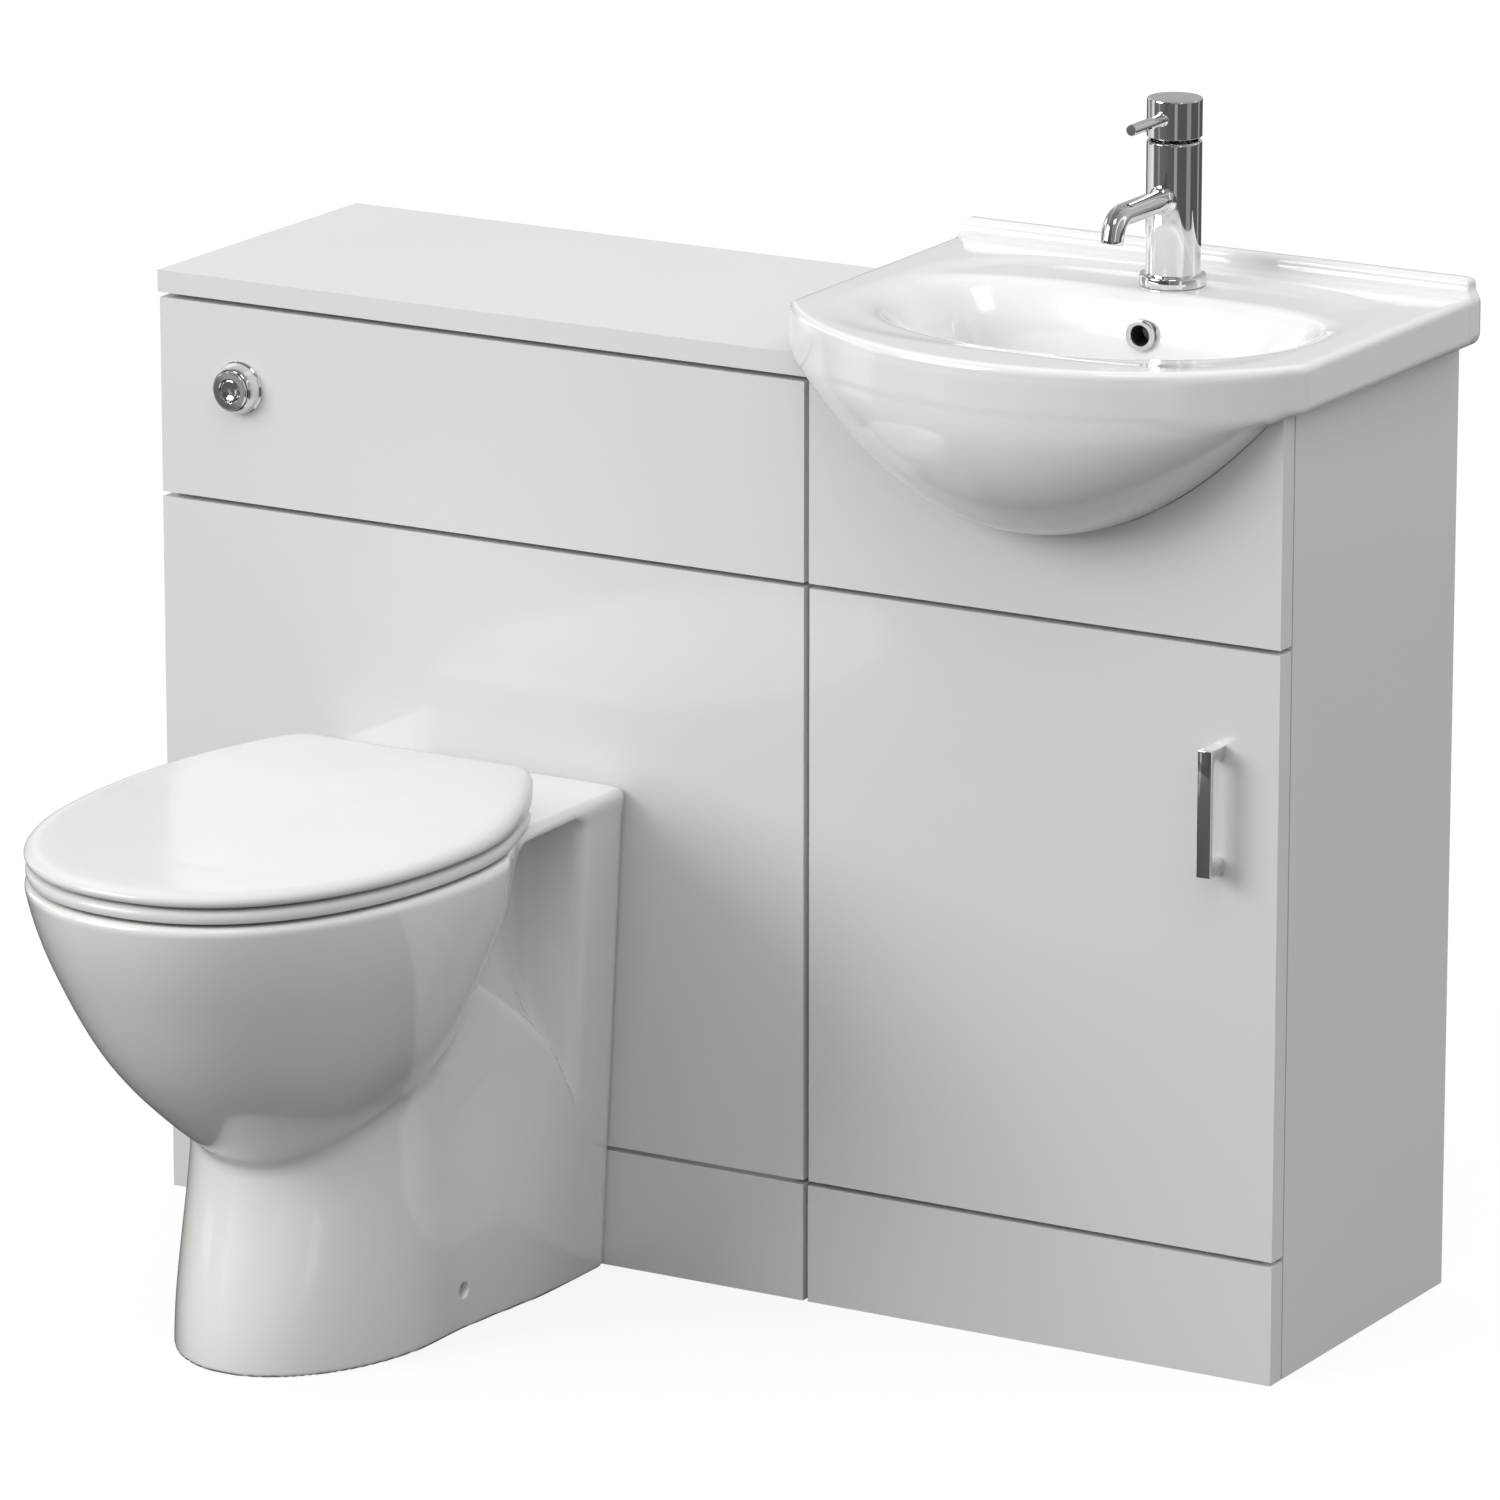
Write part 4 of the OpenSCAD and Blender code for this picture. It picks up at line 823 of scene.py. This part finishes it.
TY = 217.0
ped = [(0, 0.0), (26.0, 0.0), (26.5, 0.5), (26.5, 5.4), (26.2, 6.2), (25.6, 6.8), (24.8, 7.0), (22.4, 7.0), (22.0, 7.2), (21.7, 7.8), (21.7, 8.2), (21.7, 110.2), (21.7, 110.6), (21.5, 111.6), (20.9, 112.3), (20.2, 112.5), (19.0, 112.5), (18.7, 112.2), (18.7, 100.0), (17.7, 99.6), (17.7, 73.1), (0, 73.1)]
ped = [(r, h - (1.8 if h < 0.6 else 0)) for r, h in ped]
column = lathe("tap_column_part", ped, (BX, TY, DECK), (0, 0, 1), 128, 25)
shank = lathe("tap_shank_part", [(0, -11), (16.6, -11), (17.0, -10.6), (17.0, -1.5), (0, -1.5)], (BX, TY, DECK), (0, 0, 1), 64, 30)


def sweep_tube(name, path, radii, seg=64, cap_start=True, cap_end=True):
    """A tube along a path in a plane of constant X, as (y, z) points."""
    path = np.array(path, float)
    V, Fc = [], []
    n = len(path)
    for i, (y, z) in enumerate(path):
        t = path[min(n - 1, i + 1)] - path[max(0, i - 1)]
        t /= np.linalg.norm(t)
        e2 = np.array([-t[1], t[0]])
        for j in range(seg):
            a = 2 * math.pi * j / seg
            V.append((BX + radii[i] * math.cos(a), y + radii[i] * math.sin(a) * e2[0], z + radii[i] * math.sin(a) * e2[1]))
    for i in range(n - 1):
        for j in range(seg):
            k = (j + 1) % seg
            Fc.append((i * seg + j, i * seg + k, (i + 1) * seg + k, (i + 1) * seg + j))
    if cap_start:
        V.append((BX, *path[0]))
        Fc += [(len(V) - 1, (j + 1) % seg, j) for j in range(seg)]
    if cap_end:
        V.append((BX, *path[-1]))
        Fc += [(len(V) - 1, (n - 1) * seg + j, (n - 1) * seg + (j + 1) % seg) for j in range(seg)]
    return recalc(mesh_object(name, V, Fc))


# spout: level out of the column, round a tight bend and down with a slight forward lean
R_B, Z_S = 15.5, DECK + 68
bend_y = 119.0 + R_B * math.sin(math.radians(76)) - 1.0
pth, rad = [], []
for y, r in [(TY - 12, 9.0), (TY - 19.4, 9.0)]:
    pth.append((y, Z_S)); rad.append(r)
for k in range(1, 12):
    pth.append((TY - 19.4 - (TY - 19.4 - bend_y) * k / 12, Z_S)); rad.append(9.0)
for k in range(0, 17):
    a = math.radians(76 * k / 16)
    pth.append((bend_y - R_B * math.sin(a), Z_S - R_B * (1 - math.cos(a)))); rad.append(9.0)
a = math.radians(76)
ty, tz = -math.cos(a), -math.sin(a)
ey, ez = pth[-1]
for dist, r in [(2, 9.0), (5, 9.0), (8.2, 9.0), (8.9, 8.7), (9.1, 8.2), (9.0, 7.4), (6.0, 7.2), (5.9, 6.6)]:
    pth.append((ey + ty * dist, ez + tz * dist)); rad.append(r)


def explicit_tube(name, pts, radii, seg=64):
    """As sweep_tube, but the rings past the bend all face along the outlet."""
    V, Fc = [], []
    n = len(pts)
    for i, (y, z) in enumerate(pts):
        if i > n - 9:
            t = np.array([ty, tz])
        else:
            t = np.array(pts[min(n - 1, i + 1)]) - np.array(pts[max(0, i - 1)])
            t = t / np.linalg.norm(t)
        e2 = np.array([-t[1], t[0]])
        for j in range(seg):
            b = 2 * math.pi * j / seg
            V.append((BX + radii[i] * math.cos(b), y + radii[i] * math.sin(b) * e2[0], z + radii[i] * math.sin(b) * e2[1]))
    for i in range(n - 1):
        for j in range(seg):
            k = (j + 1) % seg
            Fc.append((i * seg + j, i * seg + k, (i + 1) * seg + k, (i + 1) * seg + j))
    for base, flip in ((0, True), ((n - 1) * seg, False)):
        V.append((BX, *(pts[0] if flip else pts[-1])))
        for j in range(seg):
            k = (j + 1) % seg
            Fc.append((len(V) - 1, base + k, base + j) if flip else (len(V) - 1, base + j, base + k))
    return recalc(mesh_object(name, V, Fc))


spout = explicit_tube("tap_spout_part", pth, rad)
# rounded collar where the spout leaves the column
collar = []
seg = 72
for gi, (dr, t) in enumerate([(0.0, 0.0), (0.35, 0.35), (0.9, 0.65), (1.8, 0.88), (3.0, 1.0)]):
    ring = []
    for j in range(seg):
        b = 2 * math.pi * j / seg
        r = 9.02 + dr
        x, z = r * math.cos(b), r * math.sin(b)
        on = TY - math.sqrt(max(21.72 ** 2 - x * x, 0))
        ring.append((BX + x, on - 3.0 * (1 - t) ** 1.6, Z_S + z))
    collar.append(ring)
Vc, Fcc = rings_mesh(collar)
collar_ob = mesh_object("tap_collar_part", Vc, Fcc)
tap = join("tap_column", [recalc(column), recalc(shank), spout, collar_ob])
finish_piece(sharpen(tap, 28), "chrome", "carcass", ["tap_body"], smooth=False)

# the cap is hollow, with a post down to the pivot pin, so that it clears the column when it tips back
cap_prof = [(0, 8.5), (18.6, 8.5), (19.2, 7.9), (19.2, 0.4), (19.7, 0.0), (21.1, 0.0), (21.7, 0.6), (21.7, 1.0), (21.7, 28.9), (21.7, 29.3), (21.45, 30.0), (20.8, 30.35), (20.0, 30.5), (0, 30.5)]
cap = recalc(lathe("tap_cap_part", cap_prof, (BX, TY, DECK + 115.5), (0, 0, 1), 128, 25))
post = rounded_box("tap_post_part", (BX - 3, TY - 3, DECK + 91), (BX + 3, TY + 3, DECK + 124.6), 0.4)
cap = join("tap_head", [cap, post])
finish_piece(sharpen(cap, 28), "chrome", "tap_handle", ["tap_cap"], smooth=False)

LZ = DECK + 132
lev = recalc(lathe("tap_lever_rod", [(0, 17.0), (4.5, 17.0), (4.5, 21.0), (4.5, 40.0), (4.5, 70.6), (4.5, 71.0), (4.35, 71.5), (3.9, 71.8), (0, 71.9)], (BX, TY, LZ), (0, -1, 0), 56, 28))
foot = []
for dr, t in [(0.0, 0.0), (0.2, 0.4), (0.6, 0.75), (1.2, 1.0)]:
    ring = []
    for j in range(56):
        b = 2 * math.pi * j / 56
        r = 4.52 + dr
        x, z = r * math.cos(b), r * math.sin(b)
        ring.append((BX + x, TY - math.sqrt(21.72 ** 2 - x * x) - 1.3 * (1 - t) ** 1.5, LZ + z))
    foot.append(ring)
Vc, Fcc = rings_mesh(foot)
lever = join("tap_lever_bar", [lev, mesh_object("tap_lever_foot", Vc, Fcc)])
finish_piece(sharpen(lever, 28), "chrome", "tap_handle", ["tap_lever"], smooth=False)

# ------------------------------------------------------ flush button
BTN = (77.0, 0.0, 680.0)
bez = [(16.4, -18.0), (19.5, -18.0), (19.5, 0.02), (21.8, 0.02), (22.0, 0.3), (22.0, 1.0), (21.7, 1.6), (21.2, 2.0), (20.7, 2.5), (20.3, 3.4), (20.0, 4.8), (19.6, 6.8), (19.0, 8.8), (18.3, 10.5), (17.6, 11.8), (17.1, 12.5), (16.75, 12.85), (16.5, 12.8), (16.4, 12.4)]
bezel = recalc(lathe("flush_bezel", bez, BTN, (0, -1, 0), 96, 28))
finish_piece(bezel, "chrome", "carcass", ["button_bezel"], smooth=False)
box_lo, box_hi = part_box("half_flush_button")
r_in = (box_hi.x - box_lo.x) * 500.0
full = [(r_in + 0.45, -22.0), (15.9, -22.0), (15.9, 13.2), (15.75, 13.9), (15.3, 14.5), (14.8, 14.8), (r_in + 1.2, 14.9), (r_in + 0.7, 14.6), (r_in + 0.45, 14.1)]
full_b = recalc(lathe("flush_ring", full, BTN, (0, -1, 0), 96, 28))
finish_piece(full_b, "chrome", "full_flush", ["full_flush_button"], smooth=False)
half = [(0, -26.0), (r_in, -26.0), (r_in, 13.6), (r_in - 0.2, 14.2), (r_in - 0.8, 14.5), (r_in - 1.6, 14.4), (r_in - 3.4, 13.9), (r_in * 0.5, 13.4), (r_in * 0.25, 13.25), (0, 13.2)]
half_b = recalc(lathe("flush_centre", half, BTN, (0, -1, 0), 96, 28))
finish_piece(half_b, "chrome", "half_flush", ["half_flush_button"], smooth=False)


# -------------------------------------------------------------- door handle
def handle_mesh():
    hx, z0, z1 = BX + 158.75, 406.0, 506.0
    w = 5.75
    parts = []
    parts.append(rounded_box("handle_bar", (hx - w, -24.0, z0), (hx + w, -19.0, z1), 0.45, 2))
    for k, (za, zb, up) in enumerate(((z1 - 12.5, z1, 1), (z0, z0 + 12.5, -1))):
        # arm: flat on its outer end and round on the side towards the middle
        prof = []
        zc = z1 if up > 0 else z0
        n = 20
        for i in range(n + 1):
            a = math.pi * i / n
            prof.append((hx + w * math.cos(a), zc - up * (6.2 + 5.75 * math.sin(a))))
        loop = [(hx - w + 0.3, zc), (hx + w - 0.3, zc), (hx + w, zc - up * 0.3)] + prof + [(hx - w, zc - up * 0.3)]
        V, Fc = [], []
        ys = [-19.2, -1.4, -0.5, -0.02]
        grow = [0, 0, 0.5, 0.6]
        cen = np.mean(loop, axis=0)
        for y, g in zip(ys, grow):
            for x, z in loop:
                V.append((x, y, z))
        m = len(loop)
        for i in range(len(ys) - 1):
            for j in range(m):
                q = (j + 1) % m
                Fc.append((i * m + j, i * m + q, (i + 1) * m + q, (i + 1) * m + j))
        V.append((cen[0], ys[0], cen[1]))
        Fc += [(len(V) - 1, (j + 1) % m, j) for j in range(m)]
        V.append((cen[0], ys[-1], cen[1]))
        Fc += [(len(V) - 1, (len(ys) - 1) * m + j, (len(ys) - 1) * m + (j + 1) % m) for j in range(m)]
        parts.append(recalc(mesh_object("handle_arm_%d" % k, V, Fc)))
    return join("door_handle_bar", parts)


handle = handle_mesh()
finish_piece(sharpen(handle, 30), "chrome", "door", ["door_handle"], smooth=False)

# ---------------------------------------------- overflow ring, waste, plug
ring = recalc(lathe("overflow_trim", [(8.2, 22.0), (9.85, 22.0), (9.85, 3.3), (12.2, 3.3), (12.5, 3.0), (12.5, 2.3), (12.3, 1.9), (11.9, 1.7), (9.0, 1.6), (8.5, 1.7), (8.2, 2.1)], (BX, 161.0, 774.0), (0, 1, 0), 72, 28))
finish_piece(ring, "chrome", "carcass", ["overflow_ring"], smooth=False)
# painted shade: a near-black sleeve inside the overflow trim darkens the hole where there is only shade
sleeve = recalc(lathe("overflow_shade_sleeve", [(7.6, 3.0), (8.1, 2.6), (8.1, 21.5), (7.6, 21.5)], (BX, 161.0, 774.0), (0, 1, 0), 48, 28))
finish_piece(sleeve, "overflow_painted_shade", "carcass", smooth=False)
plug = recalc(lathe("plug_cap", [(0, 0.0), (24.6, 0.0), (25.6, 0.2), (26.8, 0.8), (27.0, 1.3), (26.7, 1.9), (25.8, 2.5), (23.0, 3.1), (17.0, 3.8), (10.0, 4.3), (4.0, 4.55), (0, 4.6)], (BX, 95.0, 664.6), (0, 0, 1), 96, 28))
stem = recalc(lathe("plug_stem", [(0, -30.4), (4.4, -30.4), (5.0, -29.8), (5.0, -0.3), (0, -0.3)], (BX, 95.0, 664.6), (0, 0, 1), 40, 30))
plug = join("plug_click", [plug, stem])
finish_piece(sharpen(plug, 28), "chrome", "plug", ["basin_plug"], smooth=False)
flange = recalc(lathe("waste_flange", [(17.6, -79), (20.95, -79), (20.95, -3.0), (31.0, -3.0), (31.5, -2.4), (31.5, -0.9), (31.0, -0.3), (29.6, 0.0), (24.0, -0.2), (19.5, -0.9), (18.0, -2.0), (17.6, -4.0)], (BX, 95.0, 664.0), (0, 0, 1), 96, 28))
finish_piece(flange, "chrome", "carcass", ["waste_body"], smooth=False)

# ------------------------------------------------- carried CAD nodes
PANELS = {"wc_fascia": 0.9, "wc_lower_panel": 0.9, "wc_plinth": 0.8, "wc_worktop": 0.9, "wc_side_left": 0.6, "wc_side_right": 0.6,
          "vanity_side_left": 0.6, "vanity_side_right": 0.7, "vanity_fascia": 0.9, "vanity_door": 0.9, "vanity_plinth": 0.8}
for name, ob in NODES.items():
    if ob.hide_render:
        continue
    ob.data.materials.clear()
    ob.data.materials.append(MAT[SLOT[name]])
    if name in PANELS:
        add_bevel(ob, PANELS[name], 3, 30)
    else:
        add_bevel(ob, 0.35, 2, 40)

# -------------------------------------------------------- floor and lights
def floor_material():
    """Pale for the camera, and darker for the light that it gives back to the object."""
    m, nt, b = new_material("floor_pale")
    out = nt.nodes["Material Output"]
    b.inputs["Roughness"].default_value = 0.85
    b.inputs["Specular IOR Level"].default_value = 0.0
    lit = nt.nodes.new("ShaderNodeBsdfDiffuse")
    lit.inputs["Color"].default_value = (0.9, 0.9, 0.9, 1)
    glow = nt.nodes.new("ShaderNodeEmission")
    glow.inputs["Strength"].default_value = 1.02
    pale = nt.nodes.new("ShaderNodeMixShader")
    pale.inputs["Fac"].default_value = 0.82
    nt.links.new(lit.outputs[0], pale.inputs[1])
    nt.links.new(glow.outputs[0], pale.inputs[2])
    path = nt.nodes.new("ShaderNodeLightPath")
    mix = nt.nodes.new("ShaderNodeMixShader")
    nt.links.new(path.outputs["Is Camera Ray"], mix.inputs["Fac"])
    tone = nt.nodes.new("ShaderNodeMapRange")
    tone.inputs["To Min"].default_value = 0.15
    tone.inputs["To Max"].default_value = 0.08
    nt.links.new(path.outputs["Is Glossy Ray"], tone.inputs["Value"])

    def maths(op, p, q):
        node = nt.nodes.new("ShaderNodeMath")
        node.operation = op
        for k, value in enumerate((p, q)):
            if isinstance(value, (int, float)):
                node.inputs[k].default_value = value
            else:
                nt.links.new(value, node.inputs[k])
        return node.outputs[0]

    def fall(value, near, far, at_near, at_far):
        node = nt.nodes.new("ShaderNodeMapRange")
        node.interpolation_type = "SMOOTHSTEP"
        for k, v in (("From Min", near), ("From Max", far), ("To Min", at_near), ("To Max", at_far)):
            node.inputs[k].default_value = v
        nt.links.new(value, node.inputs["Value"])
        return node.outputs["Result"]

    # far from the object, pale strips run outwards over the floor and carry the bands in the chrome on down
    where = nt.nodes.new("ShaderNodeTexCoord")
    away = nt.nodes.new("ShaderNodeVectorMath")
    away.operation = "SUBTRACT"
    away.inputs[1].default_value = (0.2875, 0.3325, 0.0)
    nt.links.new(where.outputs["Object"], away.inputs[0])
    reach = nt.nodes.new("ShaderNodeVectorMath")
    reach.operation = "LENGTH"
    nt.links.new(away.outputs["Vector"], reach.inputs[0])
    unit = nt.nodes.new("ShaderNodeVectorMath")
    unit.operation = "NORMALIZE"
    nt.links.new(away.outputs["Vector"], unit.inputs[0])
    parts = nt.nodes.new("ShaderNodeSeparateXYZ")
    nt.links.new(unit.outputs["Vector"], parts.inputs["Vector"])
    strips = 0.0
    for at, wide, pale_by in ((-0.95, 0.06, 0.42), (-0.62, 0.06, 0.10), (0.55, 0.12, 0.20), (1.0, 0.02, 0.16)):
        off = maths("ABSOLUTE", maths("SUBTRACT", parts.outputs["X"], at), 0.0)
        strips = maths("ADD", strips, fall(off, wide * 0.4, wide, pale_by, 0.0))
    strips = maths("MULTIPLY", strips, fall(reach.outputs["Value"], 2.4, 3.0, 0.0, 1.0))
    strips = maths("MULTIPLY", strips, path.outputs["Is Glossy Ray"])
    nt.links.new(maths("ADD", tone.outputs["Result"], strips), b.inputs["Base Color"])
    nt.links.new(b.outputs[0], mix.inputs[1])
    nt.links.new(pale.outputs[0], mix.inputs[2])
    nt.links.new(mix.outputs[0], out.inputs["Surface"])
    return m


bpy.ops.mesh.primitive_plane_add(size=60.0, location=(0, 0, 0))
floor = bpy.context.object
floor.name = "floor"
floor.data.materials.append(floor_material())


def area_light(name, loc, target, size, power, size_y=None, color=(1, 1, 1), spread_deg=180, shine=1.0):
    d = bpy.data.lights.new(name, "AREA")
    d.energy = power
    d.color = color
    d.shape = "RECTANGLE"
    d.size = size
    d.size_y = size_y or size
    d.spread = math.radians(spread_deg)
    d.use_nodes = True
    ln = d.node_tree
    ray = ln.nodes.new("ShaderNodeLightPath")
    power_of = ln.nodes.new("ShaderNodeMapRange")
    power_of.inputs["To Min"].default_value = 1.0
    power_of.inputs["To Max"].default_value = shine
    ln.links.new(ray.outputs["Is Glossy Ray"], power_of.inputs["Value"])
    ln.links.new(power_of.outputs["Result"], ln.nodes["Emission"].inputs["Strength"])
    o = bpy.data.objects.new(name, d)
    scene.collection.objects.link(o)
    o.location = loc
    o.rotation_euler = (Vector(target) - Vector(loc)).to_track_quat("-Z", "Y").to_euler()
    return o


area_light("key_left", (-4.4, -5.4, 3.4), (-0.1, 0, 0.5), 4.2, 316, 3.8, shine=0.2)
area_light("top_front", (1.434, -2.148, 4.73), (0, -0.1, 0.4), 1.5, 15, 1.5, shine=0.2)

world = bpy.data.worlds.new("studio")
scene.world = world
world.use_nodes = True
nt = world.node_tree
coord = nt.nodes.new("ShaderNodeTexCoord")
sep = nt.nodes.new("ShaderNodeSeparateXYZ")
nt.links.new(coord.outputs["Generated"], sep.inputs["Vector"])


def sky(name, level, lobes):
    """A background that brightens towards the given sides of the room."""
    total = nt.nodes.new("ShaderNodeValue")
    total.name = name + "_level"
    total.outputs[0].default_value = level
    out = total.outputs[0]
    for side, amount in lobes.items():
        flip = nt.nodes.new("ShaderNodeMath")
        flip.operation = "MULTIPLY"
        flip.inputs[1].default_value = 1.0 if side[0] == "+" else -1.0
        nt.links.new(sep.outputs[side[1]], flip.inputs[0])
        clip = nt.nodes.new("ShaderNodeMath")
        clip.operation = "MAXIMUM"
        clip.inputs[1].default_value = 0.0
        nt.links.new(flip.outputs[0], clip.inputs[0])
        add = nt.nodes.new("ShaderNodeMath")
        add.operation = "MULTIPLY_ADD"
        add.name = name + side
        add.inputs[1].default_value = amount
        nt.links.new(clip.outputs[0], add.inputs[0])
        nt.links.new(out, add.inputs[2])
        out = add.outputs[0]
    back = nt.nodes.new("ShaderNodeBackground")
    nt.links.new(out, back.inputs["Strength"])
    return back


diffuse_sky = sky("diffuse", 0.01, {"-X": 0.05, "+X": 0.50, "-Y": 0.55, "+Y": 1.5, "+Z": 1.25})
glossy_sky = sky("glossy", 0.07, {"-X": 0.15, "+X": 0.35, "+Y": 0.45, "+Z": 0.16})
# narrow upright panels, seen only as bands in the chrome
for at, wide, bright in ((-0.93, 0.05, 1.2), (-0.62, 0.05, 0.45), (0.30, 0.04, 0.35), (0.80, 0.06, 0.8)):
    off = nt.nodes.new("ShaderNodeMath")
    off.operation = "SUBTRACT"
    off.inputs[1].default_value = at
    nt.links.new(sep.outputs["X"], off.inputs[0])
    size = nt.nodes.new("ShaderNodeMath")
    size.operation = "ABSOLUTE"
    nt.links.new(off.outputs[0], size.inputs[0])
    band = nt.nodes.new("ShaderNodeMapRange")
    band.interpolation_type = "SMOOTHSTEP"
    band.inputs["From Min"].default_value = wide * 0.4
    band.inputs["From Max"].default_value = wide
    band.inputs["To Min"].default_value = bright
    band.inputs["To Max"].default_value = 0.0
    nt.links.new(size.outputs[0], band.inputs["Value"])
    with_band = nt.nodes.new("ShaderNodeMath")
    with_band.operation = "ADD"
    nt.links.new(glossy_sky.inputs["Strength"].links[0].from_socket, with_band.inputs[0])
    nt.links.new(band.outputs["Result"], with_band.inputs[1])
    nt.links.new(with_band.outputs[0], glossy_sky.inputs["Strength"])
backdrop = nt.nodes["Background"]
backdrop.inputs["Color"].default_value = (1, 1, 1, 1)
backdrop.inputs["Strength"].default_value = 1.02
path = nt.nodes.new("ShaderNodeLightPath")
mix1 = nt.nodes.new("ShaderNodeMixShader")
nt.links.new(path.outputs["Is Glossy Ray"], mix1.inputs["Fac"])
nt.links.new(diffuse_sky.outputs[0], mix1.inputs[1])
nt.links.new(glossy_sky.outputs[0], mix1.inputs[2])
mix2 = nt.nodes.new("ShaderNodeMixShader")
nt.links.new(path.outputs["Is Camera Ray"], mix2.inputs["Fac"])
nt.links.new(mix1.outputs[0], mix2.inputs[1])
nt.links.new(backdrop.outputs[0], mix2.inputs[2])
nt.links.new(mix2.outputs[0], nt.nodes["World Output"].inputs["Surface"])

scene.view_settings.view_transform = "Standard"
scene.view_settings.look = "None"

# ------------------------------------------------------------------ camera
cam_data = bpy.data.cameras.new("camera")
cam_data.sensor_width = 36.0
cam_data.lens = 237.9
cam_data.clip_start, cam_data.clip_end = 0.1, 100
cam = bpy.data.objects.new("camera", cam_data)
scene.collection.objects.link(cam)
cam.location = (3.80985, -6.34216, 2.47801)
cam.rotation_euler = (math.radians(90 - 15.204), 0.0, math.radians(30.3206))
scene.camera = cam
